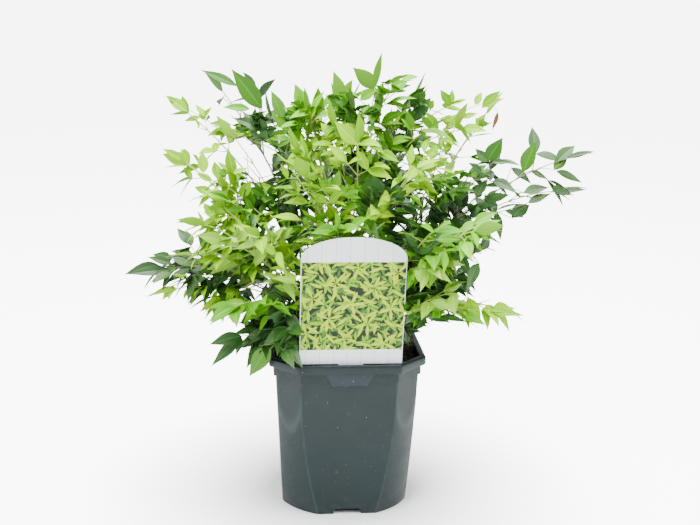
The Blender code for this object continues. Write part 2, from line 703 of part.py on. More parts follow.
def grow_frond(name, frond, axes, taken, solids, free):
    """Keep what stays in the spray's own space and touches no other piece."""
    carried = {-1}
    for index, (root, tip) in enumerate(frond.twigs):
        around = TWIG_CLEAR * TWIG_RADIUS
        tree = build_tree(wedge, root, tip, around, around)[0]
        outer = build_tree(wedge, root.lerp(tip, ROOT_SHARE), tip, TWIG_RADIUS, TWIG_RADIUS)[0]
        if not blocked([tip]) and far_enough([tip], name, axes) and free(tree, name, outer):
            solids[name].append(("twig", root, tip))
            taken[name].append(tree)
            carried.add(index)
    for holder, root, axis, normal, length in frond.leaves:
        if holder not in carried:
            continue
        for turn, share in TRIES:
            way = Matrix.Rotation(math.radians(turn), 3, normal) @ axis
            size = share * length
            tree, corners = build_tree(blade, root, way, normal, size, grow=0.5 * GAP)
            skip = ROOT_SHARE * size
            outer = build_tree(blade, root + way * skip, way, normal, size - skip)[0]
            if not blocked(corners) and far_enough(corners, name, axes) and free(tree, name, outer):
                solids[name].append(("leaf", root, way, normal, size))
                taken[name].append(tree)
                break


def fuse(name, pieces, part, mat):
    """Join a spray's stalks, twigs and leaflets into one closed solid."""
    scrap = collection(f"pieces_{name}")
    profile = triangle()
    stem = None
    for index, piece in enumerate(pieces):
        if piece[0] == "tube":
            obj = tube(f"{name}_{index}", piece[1], piece[2], scrap, profile=profile)
            if stem is None:
                stem = obj
                scrap.objects.unlink(stem)
                part.objects.link(stem)
                stem.name = f"foliage_{name}"
        else:
            bm = bmesh.new()
            if piece[0] == "twig":
                wedge(bm, piece[1], piece[2], TWIG_RADIUS, TWIG_TIP)
            else:
                blade(bm, *piece[1:])
            mesh_object(f"{name}_{index}", bm, scrap)
    bpy.data.objects.remove(profile)
    boolean(stem, "UNION", group=scrap, solver=SOLVER)
    apply_modifiers(stem)
    for obj in list(scrap.objects):
        bpy.data.objects.remove(obj)
    bpy.data.collections.remove(scrap)
    keep_largest(stem.data)
    stem.data.materials.clear()
    stem.data.materials.append(mat)


def triangle():
    """The section of a three-sided stalk."""
    curve = bpy.data.curves.new("section", "CURVE")
    spline = curve.splines.new("POLY")
    spline.points.add(2)
    for i, point in enumerate(spline.points):
        turn = 2 * math.pi * i / 3
        point.co = (math.cos(turn), math.sin(turn), 0, 1)
    spline.use_cyclic_u = True
    obj = bpy.data.objects.new("section", curve)
    bpy.context.scene.collection.objects.link(obj)
    return obj


def keep_largest(mesh):
    """Drop loose scraps and the skins of sealed hollows: only the largest shell stays."""
    bm = bmesh.new()
    bm.from_mesh(mesh)
    left = set(bm.verts)
    shells = []
    while left:
        shell = {left.pop()}
        edge = list(shell)
        while edge:
            for link in edge.pop().link_edges:
                for vert in link.verts:
                    if vert not in shell:
                        shell.add(vert)
                        edge.append(vert)
        left -= shell
        shells.append(shell)
    shells.sort(key=len)
    for shell in shells[:-1]:
        bmesh.ops.delete(bm, geom=list(shell), context="VERTS")
    bm.to_mesh(mesh)
    bm.free()


def main():
    for obj in list(bpy.data.objects):
        bpy.data.objects.remove(obj)
    part = collection("heavenly_bamboo")
    cutters = collection("cutters")
    make_pot(part, cutters, material("pot_plastic", (0.055, 0.088, 0.095), 0.38))
    make_soil(part, cutters, material("soil", (0.030, 0.021, 0.015), 0.95))
    make_label(part, material("label_card", (0.80, 0.83, 0.84), 0.45))
    canes = make_canes(part, material("cane_bark", (0.210, 0.190, 0.085), 0.70))
    mats = {tint: material(f"leaf_{tint}", colour, 0.40) for tint, colour in GREENS.items()}
    return make_sprays(part, canes, mats)


plans, solids = main()
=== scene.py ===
"""Heavenly bamboo in its nursery pot: pot, compost, plant label, canes, stalks and leaflets.

Metres, +Z up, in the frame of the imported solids. The label faces -Y.
"""
import math
import random

import bmesh
import bpy
import numpy as np
from mathutils import Matrix, Vector, noise


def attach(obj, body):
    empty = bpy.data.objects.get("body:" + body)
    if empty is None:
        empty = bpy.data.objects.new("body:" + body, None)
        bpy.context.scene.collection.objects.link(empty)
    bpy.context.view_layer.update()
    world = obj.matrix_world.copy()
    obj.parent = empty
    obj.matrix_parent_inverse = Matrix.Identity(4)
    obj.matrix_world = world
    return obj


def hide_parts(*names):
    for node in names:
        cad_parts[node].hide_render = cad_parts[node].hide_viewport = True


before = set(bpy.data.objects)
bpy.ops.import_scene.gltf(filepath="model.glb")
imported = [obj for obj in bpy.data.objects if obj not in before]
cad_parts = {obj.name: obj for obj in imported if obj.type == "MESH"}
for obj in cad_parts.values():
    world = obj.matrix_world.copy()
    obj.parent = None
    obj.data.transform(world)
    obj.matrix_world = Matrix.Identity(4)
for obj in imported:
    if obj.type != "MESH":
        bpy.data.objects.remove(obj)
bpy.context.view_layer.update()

# Photograph: how its camera stands to the pot
IMAGE_WIDE = 700
IMAGE_HIGH = 525
FOCAL_PIXELS = 1165
SENSOR = 36
EYE = Vector((-0.10456, -1.24512, 0.57469))
HEADING = math.radians(5.04)  # clockwise from +Y
PITCH = math.radians(13.78)
ROLL = math.radians(0.935)

# Pot
POT_ACROSS = 0.170
POT_HEIGHT = 0.176
RIM_FACE = 0.108
RIM_DEPTH = 0.0088
BAND_DEPTH = 0.0115
RIM_PROUD = 0.0050
BAND_PROUD = 0.0025
RIM_ROUND = 0.0013
BASE_RADIUS = 0.0763
BODY_SWELL = 1.5
BASE_ROUND = 0.0016
BODY_LEAN = 0.052
CORNER_LEAN = 0.022
CREASE = 0.00016  # softness of the moulded creases
WALL = 0.0018
POT_TURNS = 360
RUST_SPOT = (-0.012, -0.0721, 0.051)
NOTCH_WIDTH = 0.0269
NOTCH_FLARE = 0.0022
NOTCH_HEIGHT = 0.0063
NOTCH_DEEP = 0.010
TAB_TOP = 0.0535
TAB_FOOT = 0.0375
TAB_DEPTH = 0.0150
TAB_PROUD = 0.0012
TAB_BEVEL = 0.0005
POT_CLEAR = 0.002  # between rim and leaflets

# Compost
SOIL_TOP = 0.166
SOIL_FLAT = 0.049
SOIL_SKIRT = 0.140
SOIL_EDGE = 0.02  # breadth over which the flat middle turns rough
SOIL_ROUGH = 0.0014
CLOD = 0.0012  # height of clods and clumps
LUMPS = ((0.066, 0.006, 0.020, 0.013), (-0.068, -0.004, 0.011, 0.011))

# Label
CARD_WIDTH = 0.109
CARD_SIDE = 0.121
CARD_ARCH = 0.024
CARD_THICK = 0.0008
CARD_LEAN = math.radians(10)
CARD_FOOT = Vector((0.001, -0.0772, POT_HEIGHT + 0.0008))
STAKE_WIDTH = 0.026
STAKE_LENGTH = 0.060
LABEL_CLEAR = 0.003
CARD_SHOWN = 0.46  # share of the width, to each side, before which nothing hangs
LOOK_DOWN = 0.25  # the camera's slope over the card's top
PICTURE_LOW = 0.0170
PICTURE_HIGH = 0.1175
PICTURE_SIDE = 0.0008  # bare margin left and right of the picture
PLANK = 0.0145

# Canes: name, azimuth and radius of the foot, height, how far the tip leans out
CANE_RADIUS = 0.0033
CANE_TIP = 0.0019
CANE_KNEE = 0.55  # share of the height where a cane starts to lean
CANE_TURNS = 18
CANE_LEVEL = 0.0012  # height between a cane's rings
CANE_JOINT = 0.013  # height between its joints
CANE_GIRTH = 0.90  # share of the radius that it has between them
CANE_SWELL = 0.13  # what a joint adds to that
CANE_SHEATH = 0.10  # what the sheath of an old leaf adds
CANE_BARE = 0.85  # share of the height above which no sheath is left
CANE_RIDGE = 0.10
CANE_FLAKE = 0.05
CANE_SUNK = 0.004
CANE_CAP = 0.0006
CANES = (
    ("left_front", -150, 0.036, 0.058, 0.009),
    ("left", 176, 0.042, 0.078, 0.012),
    ("left_back", 138, 0.038, 0.104, 0.010),
    ("back", 92, 0.036, 0.086, 0.010),
    ("right_back", 48, 0.038, 0.092, 0.010),
    ("right", 4, 0.042, 0.096, 0.012),
    ("right_front", -38, 0.038, 0.066, 0.009),
    ("front", -95, 0.028, 0.072, 0.002),
    ("middle", 60, 0.006, 0.124, 0.003),
)

# Sprays: name, cane, place up the cane, then its compound leaves, the first of which is the stem.
# A leaf: azimuth and elevation of its furthest tip seen from the crown's heart, reach in mm,
# leaflet length in mm, roll of its plane in degrees, colour
HEART = Vector((0, 0, 0.195))
SPRAYS = (
    ("low_left", "left_front", 0.25,
     ((-160, -8, 162, 40, 10, "dark"), (-145, 0, 142, 36, -15, "dark"))),
    ("front_low_left", "left_front", 0.45,
     ((-132, -5, 158, 38, -5, "dark"), (-126, 6, 140, 36, 20, "dark"))),
    ("front_left", "left_front", 0.68,
     ((-141, 14, 194, 34, 15, "bright"), (-117, 30, 168, 32, -20, "pale"))),
    ("left_pale", "left_front", 1.00,
     ((-148, 34, 226, 36, 35, "pale"), (-133, 40, 218, 36, -30, "lime"), (-160, 25, 226, 34, 0, "lime"))),
    ("far_left", "left", 0.55,
     ((180, 15, 250, 40, -10, "dark"), (-171, 11, 222, 32, 12, "lime"))),
    ("left_lime", "left", 1.00,
     ((178, 45, 282, 34, -30, "lime"), (-167, 34, 228, 36, 25, "lime"),
      (-160, 46, 230, 34, 0, "bright"))),
    ("low_back_left", "left_back", 0.40,
     ((148, 10, 236, 40, 10, "dark"), (128, 16, 232, 38, -15, "mid"), (138, 30, 240, 36, 0, "mid"))),
    ("upper_left_lime", "left_back", 0.85,
     ((161, 50, 326, 32, -20, "lime"), (168, 58, 275, 32, 15, "lime"))),
    ("upper_left_dark", "left_back", 1.00,
     ((138, 52, 350, 44, 30, "mid"), (131, 58, 328, 46, -35, "dark"), (137, 65, 284, 40, 0, "dark"))),
    ("low_back", "back", 0.40,
     ((103, 8, 236, 40, 0, "dark"), (82, 12, 240, 38, 15, "dark"), (93, 27, 250, 36, -10, "mid"))),
    ("back", "back", 1.00,
     ((110, 42, 292, 40, -15, "mid"), (86, 46, 284, 36, 20, "bright"), (100, 61, 274, 36, 0, "lime"))),
    ("low_back_right", "right_back", 0.40,
     ((58, 10, 236, 40, 10, "dark"), (38, 14, 236, 38, -15, "mid"), (48, 29, 244, 36, 0, "mid"))),
    ("back_right", "right_back", 1.00,
     ((63, 44, 290, 38, 15, "mid"), (38, 42, 284, 36, -20, "bright"), (52, 60, 276, 36, 5, "mid"))),
    ("low_right", "right", 0.35,
     ((14, 10, 196, 38, -10, "dark"), (24, 24, 232, 36, 15, "mid"))),
    ("far_right", "right", 0.80,
     ((-5, 37, 337, 42, 60, "dark"), (-16, 33, 310, 38, -20, "dark"), (2, 47, 286, 36, 30, "dark"))),
    ("upper_right_lime", "right", 1.00,
     ((8, 56, 316, 30, -20, "lime"), (-6, 63, 284, 30, 25, "lime"), (20, 52, 290, 34, 10, "bright"))),
    ("low_right_lime", "right_front", 0.48,
     ((-25, 10, 208, 34, 5, "lime"), (-37, 10, 176, 32, -15, "bright"))),
    ("right_droop", "right_front", 0.75,
     ((-8, 29, 204, 38, 20, "dark"), (-30, 23, 184, 38, -25, "dark"))),
    ("right_bright", "right_front", 1.00,
     ((-42, 36, 246, 38, 20, "bright"), (-55, 42, 222, 34, -20, "bright"), (-59, 29, 188, 32, 20, "pale"))),
    ("front_low_right", "right_front", 0.24,
     ((-54, 14, 166, 34, -15, "dark"), (-47, 22, 198, 34, 15, "pale"))),
    ("front", "front", 0.80,
     ((-100, 52, 196, 34, 10, "bright"), (-76, 50, 194, 32, -20, "mid"))),
    ("front_top_left", "front", 1.00,
     ((-121, 61, 240, 34, 10, "lime"), (-134, 68, 252, 32, -25, "lime"))),
    ("front_top_lime", "middle", 0.64,
     ((-54, 58, 254, 34, 15, "lime"), (-88, 70, 266, 40, -30, "lime"))),
    ("top_left", "middle", 0.70,
     ((126, 71, 280, 36, 20, "bright"), (150, 78, 268, 34, -10, "lime"))),
    ("top", "middle", 1.00,
     ((11, 83, 307, 40, 70, "bright"), (-120, 80, 262, 34, -40, "lime"))),
    ("top_right", "middle", 0.88,
     ((31, 69, 302, 40, -20, "mid"), (8, 70, 276, 38, 25, "dark"))),
)

# The rule that every spray follows, as in the solids, with true leaflet sizes and finer twigs
STEM_RADIUS = 0.0013
STALK_RADIUS = 0.0009
STALK_TIP = 0.00055
TWIG_RADIUS = 0.0006
TWIG_TIP = 0.00038
STALK_STEPS = 16
TWIG_STEPS = 4
STEM_SUNK = 0.001  # how far a stem starts inside its cane's tip
STEM_INSIDE = 0.4  # how far out in the bark it starts elsewhere, as a share of the radius
STEM_BENDS = (0, 0.20, 0.34, 0.50, 0.66, 0.83, 1)
SIDE_BENDS = (0, 0.34, 0.66, 1)
TWIGGY = 3
FORKS = (0.55, 0.90)
ARCH = 0.20
KNEE = 0.45
SIDE_REACH = 0.15
SHORT_REACH = 0.55  # the other twigs, as a share of a leaflet
SHORT_SIZE = 0.88  # their leaflets beside the long twigs'
LEAF_WIDE = 0.42
LEAF_DROOP = 0.34
LEAF_SAG = (0.08, 0.30)  # a level one's least droop, as a share of its length, and what chance adds
LEAF_FULL = 0.75  # the lower, the nearer to its root it is broad
LEAF_POINT = 1.2  # the higher, the finer its ends are
LEAF_FOLD = (0.36, 0.16)
LEAF_THICK = 0.012
LEAF_STATIONS = (0.04, 0.12, 0.23, 0.36, 0.50, 0.65, 0.80, 0.92)
FACE_OUT = 0.6
FACE_TURN = 0.9  # how unevenly leaflets face
WIDTHS = (0.80, 1.12)  # of LEAF_WIDE
PAIR_TURN = (40, 60)  # the two leaflets beside an end one: degrees, droop, size
PAIR_DROOP = (0.2, 1.4)
PAIR_SIZE = (0.78, 0.98)
MIDDLE_DROOP = (0.2, 1.0)  # the two halfway along a long twig
MIDDLE_SIZE = 0.8
MIDDLE_AHEAD = 0.6
MIDDLE_ASIDE = 0.8
TWIG_TURN = (44, 62)
TWIG_RISE = (-0.22, 0.14)
TWIG_LENGTH = (0.8, 1.1)  # of its reach
TWIG_LEAFLET = (0.82, 1.04)  # its end leaflet beside the frond's
YOUNG_SIZE = 0.6  # of a full leaflet
BELLY = 0.42  # where a leaflet is broadest
PAIR_BACK = 0.0022
GAP = 0.0003

# Finer compound leaves that the photograph shows between the main ones, by their spray: place along
# its stem, x and y of the furthest tip in the picture, its depth in mm, leaflet length in mm, colour
FINER = {
    "top_left": (
        (0.60, 309, 101, 30, 26, "young"), (0.72, 293, 83, 50, 28, "bright"),
        (0.45, 270, 113, 20, 30, "bright"), (0.30, 262, 155, 10, 36, "dark"),
        (0.65, 318, 86, 30, 36, "bright"), (0.60, 303, 86, 0, 34, "bright")),
    "top": (
        (0.45, 340, 90, -10, 34, "mid"), (0.52, 328, 80, 20, 34, "bright"),
        (0.50, 332, 70, 10, 34, "bright"), (0.55, 348, 86, -20, 30, "mid"), (0.60, 389, 94, -30, 36, "mid"),
        (0.75, 424, 69, 0, 40, "bright"), (0.40, 330, 130, -50, 28, "lime"),
        (0.35, 375, 132, -60, 32, "lime")),
    "top_right": (
        (0.75, 441, 97, 30, 30, "mid"), (0.60, 392, 112, 0, 28, "lime"), (0.50, 470, 98, -20, 28, "lime"),
        (0.42, 488, 128, -30, 28, "lime"), (0.35, 452, 118, -50, 30, "bright")),
    "front_top_lime": (
        (0.45, 470, 172, -50, 30, "bright"), (0.60, 458, 146, -60, 30, "lime"),
        (0.30, 405, 186, -90, 32, "dark")),
    "front_top_left": (
        (0.80, 300, 134, -60, 28, "lime"), (0.60, 272, 150, -60, 26, "lime"),
        (0.45, 340, 168, -90, 30, "bright"), (0.25, 300, 210, -90, 30, "bright")),
    "upper_left_dark": (
        (0.50, 258, 112, 50, 30, "dark"), (0.55, 208, 130, 50, 27, "lime"), (0.62, 216, 122, 70, 30, "mid"),
        (0.35, 306, 96, 30, 30, "bright")),
    "left_lime": (
        (0.32, 236, 232, -40, 30, "lime"), (0.42, 214, 214, -30, 30, "lime"),
        (0.50, 229, 150, 0, 30, "bright"), (0.45, 224, 166, -30, 32, "lime"),
        (0.28, 256, 182, 20, 30, "dark"), (0.20, 240, 208, 30, 32, "dark")),
    "left_pale": (
        (0.50, 175, 222, -60, 30, "lime"), (0.42, 197, 188, -40, 32, "lime"),
        (0.30, 262, 222, -70, 28, "pale"), (0.20, 280, 238, -70, 30, "lime")),
    "far_left": (
        (0.40, 186, 238, 20, 34, "dark"), (0.45, 158, 264, 10, 36, "dark"),
        (0.30, 166, 288, -20, 34, "dark"), (0.30, 148, 297, -10, 28, "lime"),
        (0.35, 206, 319, -40, 28, "lime")),
    "low_left": (
        (0.50, 262, 345, -60, 34, "dark"), (0.35, 268, 322, -60, 32, "dark")),
    "far_right": (
        (0.35, 478, 152, -30, 30, "mid"), (0.22, 512, 194, -50, 30, "dark"),
        (0.15, 500, 205, -60, 34, "dark")),
    "right_bright": (
        (0.30, 507, 229, -90, 34, "bright"), (0.20, 470, 250, -100, 32, "bright")),
    "low_right": (
        (0.25, 484, 277, -10, 36, "dark"), (0.40, 513, 242, 0, 34, "dark")),
    "front_low_right": (
        (0.30, 470, 304, -100, 30, "pale"), (0.10, 430, 345, -60, 34, "dark")),
}
ROLL_STEP = 47  # from one of them to the next, in degrees
ROLL_MOST = 60

# Where the picture shows no leaflet: x, y, half sizes
CLEAR = (
    (548, 242, 34, 40), (252, 158, 22, 15), (172, 127, 34, 9), (450, 334, 34, 15), (537, 111, 26, 12),
    (272, 366, 22, 14), (494, 266, 18, 24), (208, 91, 14, 9), (396, 68, 9, 8), (231, 371, 9, 9),
    (174, 340, 30, 30), (150, 320, 30, 14), (236, 350, 18, 11), (513, 150, 11, 10), (270, 170, 10, 11),
    (467, 151, 13, 11), (490, 290, 14, 14), (568, 176, 14, 10), (229, 108, 10, 9),
)
# Twigs that stand out at the crown's edge: spray, depth in mm, the twig's points from its root, then
# for each leaflet its colour, its width as a share of its length, and its root and tip
EDGE_TWIGS = (
    ("upper_left_dark", 70, ((303, 165), (283, 135), (262, 111), (246, 98), (237, 86)), (
        ("mid", 0.26, 237, 86, 200, 67), ("mid", 0.36, 262, 109, 231, 66), ("mid", 0.46, 283, 119, 271, 89),
        ("bright", 0.34, 250, 109, 222, 105), ("dark", 0.36, 268, 131, 232, 115),
        ("mid", 0.40, 264, 122, 280, 106), ("dark", 0.34, 258, 126, 284, 153))),
    ("far_right", -20, ((478, 218), (503, 190), (523, 173), (545, 168), (554, 170), (567, 158)), (
        ("mid", 0.52, 487, 161, 503, 136), ("mid", 0.48, 523, 172, 537, 139),
        ("mid", 0.46, 554, 170, 568, 151), ("dark", 0.24, 567, 158, 595, 149),
        ("dark", 0.34, 556, 171, 583, 181), ("dark", 0.46, 488, 162, 475, 147),
        ("dark", 0.42, 483, 174, 468, 161), ("dark", 0.34, 492, 162, 512, 161),
        ("dark", 0.32, 530, 171, 549, 178))),
    ("far_right", -30, ((468, 224), (500, 212), (528, 203), (553, 192)), (
        ("dark", 0.22, 553, 192, 588, 187), ("dark", 0.40, 528, 203, 551, 192),
        ("dark", 0.32, 505, 211, 525, 216), ("dark", 0.42, 496, 213, 484, 192))),
    ("left_lime", -20, ((283, 240), (258, 212), (232, 190), (205, 176), (183, 160)), (
        ("lime", 0.36, 183, 160, 162, 147), ("lime", 0.50, 189, 162, 181, 148),
        ("lime", 0.52, 203, 173, 202, 150), ("lime", 0.42, 233, 173, 228, 147),
        ("lime", 0.40, 232, 173, 220, 162), ("lime", 0.34, 232, 174, 249, 166),
        ("lime", 0.46, 240, 197, 252, 179), ("lime", 0.40, 212, 181, 196, 172))),
    ("upper_left_lime", 70, ((303, 165), (262, 144), (228, 132), (200, 116), (180, 105)), (
        ("lime", 0.34, 180, 105, 165, 94), ("lime", 0.52, 186, 109, 182, 95),
        ("lime", 0.40, 205, 117, 195, 103), ("lime", 0.36, 204, 117, 212, 106),
        ("lime", 0.44, 222, 130, 218, 115), ("lime", 0.44, 236, 136, 240, 122),
        ("lime", 0.36, 200, 117, 184, 120), ("lime", 0.38, 228, 133, 212, 134))),
    ("upper_right_lime", 0, ((440, 140), (455, 118), (470, 108), (484, 103)), (
        ("lime", 0.36, 482, 106, 501, 89), ("lime", 0.28, 481, 108, 505, 96),
        ("lime", 0.44, 475, 105, 482, 91), ("lime", 0.40, 450, 104, 440, 88),
        ("lime", 0.50, 451, 104, 452, 89), ("lime", 0.34, 452, 105, 467, 97),
        ("lime", 0.50, 438, 133, 425, 110), ("lime", 0.44, 462, 118, 478, 112))),
    ("low_left", -60, ((290, 330), (268, 333), (242, 336)), (
        ("dark", 0.42, 242, 336, 209, 342), ("dark", 0.36, 242, 337, 211, 364),
        ("mid", 0.44, 270, 345, 249, 375), ("dark", 0.40, 242, 338, 236, 355),
        ("dark", 0.40, 268, 333, 262, 352))),
    ("far_left", -10, ((215, 268), (190, 266), (170, 268)), (
        ("dark", 0.28, 170, 270, 127, 271), ("dark", 0.34, 172, 264, 147, 255),
        ("dark", 0.42, 190, 266, 170, 255), ("dark", 0.40, 190, 268, 168, 281),
        ("mid", 0.36, 176, 268, 150, 281))),
    ("low_right_lime", -90, ((440, 306), (463, 308), (490, 311)), (
        ("lime", 0.24, 490, 312, 525, 313), ("lime", 0.26, 490, 311, 517, 306),
        ("lime", 0.36, 463, 313, 485, 323), ("lime", 0.46, 470, 309, 469, 296),
        ("lime", 0.34, 462, 308, 484, 302))),
)
STAGGER = 9  # mm between the depths of neighbouring tips
BROADSIDE = (0.5, 0.7)  # how far these leaflets still turn aside and up
SHADE_STEP = 0.37
DRY_LEAFLET = (498, 112, 5)  # a dead one, caught among the others: x, y, depth in mm
DRY_LENGTH = 0.019
DRY_AXIS = (-0.35, -0.2, -0.9)
DRY_FACE = (0.6, -0.7, -0.1)
THREAD_START = (489, 101, 5)
THREAD_RADIUS = 0.0003

# Compound leaves inside the crown, on every spray: how many, how far they turn from its own
# leaves, their reach as a share of those, and their colour, one tint darker as painted shade inside the crown
INNER = 3
INNER_TURN = 26
INNER_RISE = 15
INNER_ROLL = 60
INNER_REACH = (0.45, 0.72)
INNER_FORK = (0.10, 0.42)
SHADED_INNER_TINT = {"lime": "mid", "bright": "dark", "pale": "mid", "mid": "dark", "dark": "dark"}

# Leaflets: the two near greens of the upper face, its gloss, the underside
TINTS = {
    "dark": ((0.013, 0.058, 0.006), (0.034, 0.115, 0.012), 0.4, (0.050, 0.130, 0.036)),
    "mid": ((0.028, 0.125, 0.003), (0.066, 0.215, 0.005), 0.3, (0.085, 0.210, 0.034)),
    "bright": ((0.075, 0.280, 0.001), (0.150, 0.420, 0.001), 0.2, (0.130, 0.330, 0.016)),
    "lime": ((0.165, 0.380, 0.001), (0.285, 0.540, 0.001), 0.1, (0.215, 0.430, 0.004)),
    "pale": ((0.165, 0.360, 0.012), (0.270, 0.490, 0.035), 0.3, (0.240, 0.440, 0.050)),
    "young": ((0.560, 0.300, 0.090), (0.700, 0.420, 0.140), 0.1, (0.600, 0.380, 0.160)),
    "dry": ((0.130, 0.055, 0.020), (0.230, 0.105, 0.040), 0.1, (0.200, 0.080, 0.030)),
}
LEAF_SLOTS = {"young": "leaf_lime", "dry": "leaf_mid"}
STALKS = (
    ("olive", "leaf_mid", (0.120, 0.150, 0.050), (0.200, 0.210, 0.080)),
    ("lime", "leaf_bright", (0.290, 0.420, 0.080), (0.420, 0.540, 0.120)),
)

# Studio
AIM = (0, 0, 0.25)
FLOOR = 60
LIGHTS = (  # name, place, size, power
    ("key", (-0.9, -1.1, 1.9), 1.2, 75),
    ("fill", (1.4, -0.8, 1.3), 1.2, 30),
    ("top", (0.1, 0.3, 2.0), 1.4, 120),
)
FLOOR_GLOW = 6.0  # an overlit white studio, as the camera alone sees it
SKY_GLOW = 7.1
PAINTED_SHADOW_FADE = (0.08, 0.30)  # distance from the pot over which the floor's glow sets in; nearer, the floor is darker, a painted shadow round the pot's foot over the real one
AMBIENT = 1.0


# Making objects

def linked(name, data):
    """An object of this mesh, light or camera in the scene."""
    obj = bpy.data.objects.new(name, data)
    bpy.context.scene.collection.objects.link(obj)
    return obj


def soften(mesh, degrees):
    """Shade smooth where faces meet at less than this angle."""
    mesh.shade_smooth()
    mesh.set_sharp_from_angle(angle=math.radians(degrees))


def note(mesh, name, values, kind="FLOAT", domain="POINT"):
    """Keep a value for every point, edge or face of a mesh under this name."""
    kept = mesh.attributes.new(name, kind, domain).data
    kept.foreach_set("vector" if kind == "FLOAT_VECTOR" else "value", values)


def piece(name, verts, faces, smooth=40):
    """A mesh object from plain lists."""
    mesh = bpy.data.meshes.new(name)
    mesh.from_pydata([tuple(v) for v in verts], [], faces)
    mesh.validate()
    soften(mesh, smooth)
    return linked(name, mesh)


def cutter(name, bm):
    """A closed helper shape."""
    bmesh.ops.recalc_face_normals(bm, faces=bm.faces[:])
    mesh = bpy.data.meshes.new(name)
    bm.to_mesh(mesh)
    bm.free()
    return linked(name, mesh)


def settle(obj, slot, *nodes):
    """The last calls on a finished piece."""
    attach(obj, "root")
    if nodes:
        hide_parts(*nodes)


def bake_modifiers(obj):
    """Put what the modifiers make into the object's own mesh."""
    graph = bpy.context.evaluated_depsgraph_get()
    mesh = bpy.data.meshes.new_from_object(obj.evaluated_get(graph), preserve_all_data_layers=True,
                                           depsgraph=graph)
    obj.modifiers.clear()
    old = obj.data
    obj.data = mesh
    mesh.name = obj.name
    bpy.data.meshes.remove(old)


def boolean(obj, other, operation):
    mod = obj.modifiers.new(operation.lower(), "BOOLEAN")
    mod.operation = operation
    mod.solver = "MANIFOLD"
    mod.object = other
    bake_modifiers(obj)
    bpy.data.objects.remove(other)


# Node graphs

class Graph:
    """A node tree to add to. An input is a value or another node's output."""

    def __init__(self, tree, family):
        self.tree = tree
        self.family = family

    def fill(self, inputs, values):
        """Set inputs, or join outputs to them."""
        for key, value in values.items():
            if isinstance(value, bpy.types.NodeSocket):
                self.tree.links.new(value, inputs[key])
            else:
                inputs[key].default_value = value

    def add(self, kind, inputs=None, **settings):
        """A new node's outputs. A node of another family has its full name."""
        node = self.tree.nodes.new(kind if "Node" in kind else self.family + kind)
        for key, value in settings.items():
            setattr(node, key, value)
        self.fill(node.inputs, inputs or {})
        return node.outputs

    def calc(self, operation, *values):
        """A Math node's result."""
        return self.add("ShaderNodeMath", dict(enumerate(values)), operation=operation)[0]

    def times(self, first, second):
        return self.calc("MULTIPLY", first, second)

    def less(self, first, second):
        return self.calc("LESS_THAN", first, second)

    def vector(self, operation, *values):
        """A Vector Math node's outputs: a vector, then a number."""
        return self.add("ShaderNodeVectorMath", dict(enumerate(values)), operation=operation)

    def split(self, vector):
        return self.add("ShaderNodeSeparateXYZ", {0: vector})

    def mix(self, factor, *colours):
        """A mix of two colours, each an output or three numbers."""
        first, second = (c if isinstance(c, bpy.types.NodeSocket) else (*c, 1) for c in colours)
        return self.add("ShaderNodeMix", {0: factor, 6: first, 7: second}, data_type="RGBA")[2]

    def remap(self, value, low, high, start=0.0, end=1.0):
        """A value moved from one range to another and kept inside it."""
        return self.add("ShaderNodeMapRange", {0: value, 1: low, 2: high, 3: start, 4: end})[0]


class Finish(Graph):
    """An opaque material. In a shader input's name an underscore stands for a space."""

    def __init__(self, name, roughness, **inputs):
        self.material = bpy.data.materials.new(name)
        self.material.use_nodes = True
        super().__init__(self.material.node_tree, "ShaderNode")
        self.set(Roughness=roughness, **inputs)

    def set(self, **values):
        shader = self.tree.nodes["Principled BSDF"].inputs
        self.fill(shader, {key.replace("_", " "): value for key, value in values.items()})

    def place(self):
        """Where a point lies on the object, in metres."""
        return self.add("TexCoord")["Object"]

    def attribute(self, name):
        return self.add("Attribute", attribute_name=name)["Fac"]

    def grain(self, vector, scale, detail=3, roughness=0.5):
        """A noise pattern's value."""
        return self.add("TexNoise", {"Vector": vector, "Scale": scale, "Detail": detail,
                                     "Roughness": roughness})[0]

    def bump(self, height, distance, strength):
        self.set(Normal=self.add("Bump", {"Height": height, "Distance": distance, "Strength": strength})[0])


class Growth(Graph):
    """A modifier graph with named inputs, each of its kind."""

    def __init__(self, name, **inputs):
        super().__init__(bpy.data.node_groups.new(name, "GeometryNodeTree"), "GeometryNode")
        sockets = self.tree.interface
        for label, kind in {"Geometry": "Geometry", **inputs}.items():
            sockets.new_socket(label, in_out="INPUT", socket_type=f"NodeSocket{kind}")
        sockets.new_socket("Geometry", in_out="OUTPUT", socket_type="NodeSocketGeometry")
        self.given = self.tree.nodes.new("NodeGroupInput").outputs
        self.end = self.tree.nodes.new("NodeGroupOutput").inputs

    def named(self, name, kind="FLOAT"):
        return self.add("InputNamedAttribute", {"Name": name}, data_type=kind)[0]

    def spread(self, points, shape, rotation, scale):
        """A real copy of the given shape on every point."""
        shape = self.add("ObjectInfo", {"Object": self.given[shape]})["Geometry"]
        copies = self.add("InstanceOnPoints", {"Points": points, "Instance": shape, "Rotation": rotation,
                                               "Scale": scale})[0]
        return self.add("RealizeInstances", {0: copies})[0]

    def paint(self, geometry, finish, **where):
        """Geometry with the given material."""
        return self.add("SetMaterial", {0: geometry, "Material": self.given[finish]} | where)[0]

    def grow(self, obj, **values):
        """Run the graph on an object with these inputs, and keep its result as a plain mesh."""
        mod = obj.modifiers.new(self.tree.name, "NODES")
        mod.node_group = self.tree
        for item in self.tree.interface.items_tree:
            if item.in_out == "INPUT" and item.name in values:
                mod[item.identifier] = values[item.name]
        bake_modifiers(obj)
        return obj


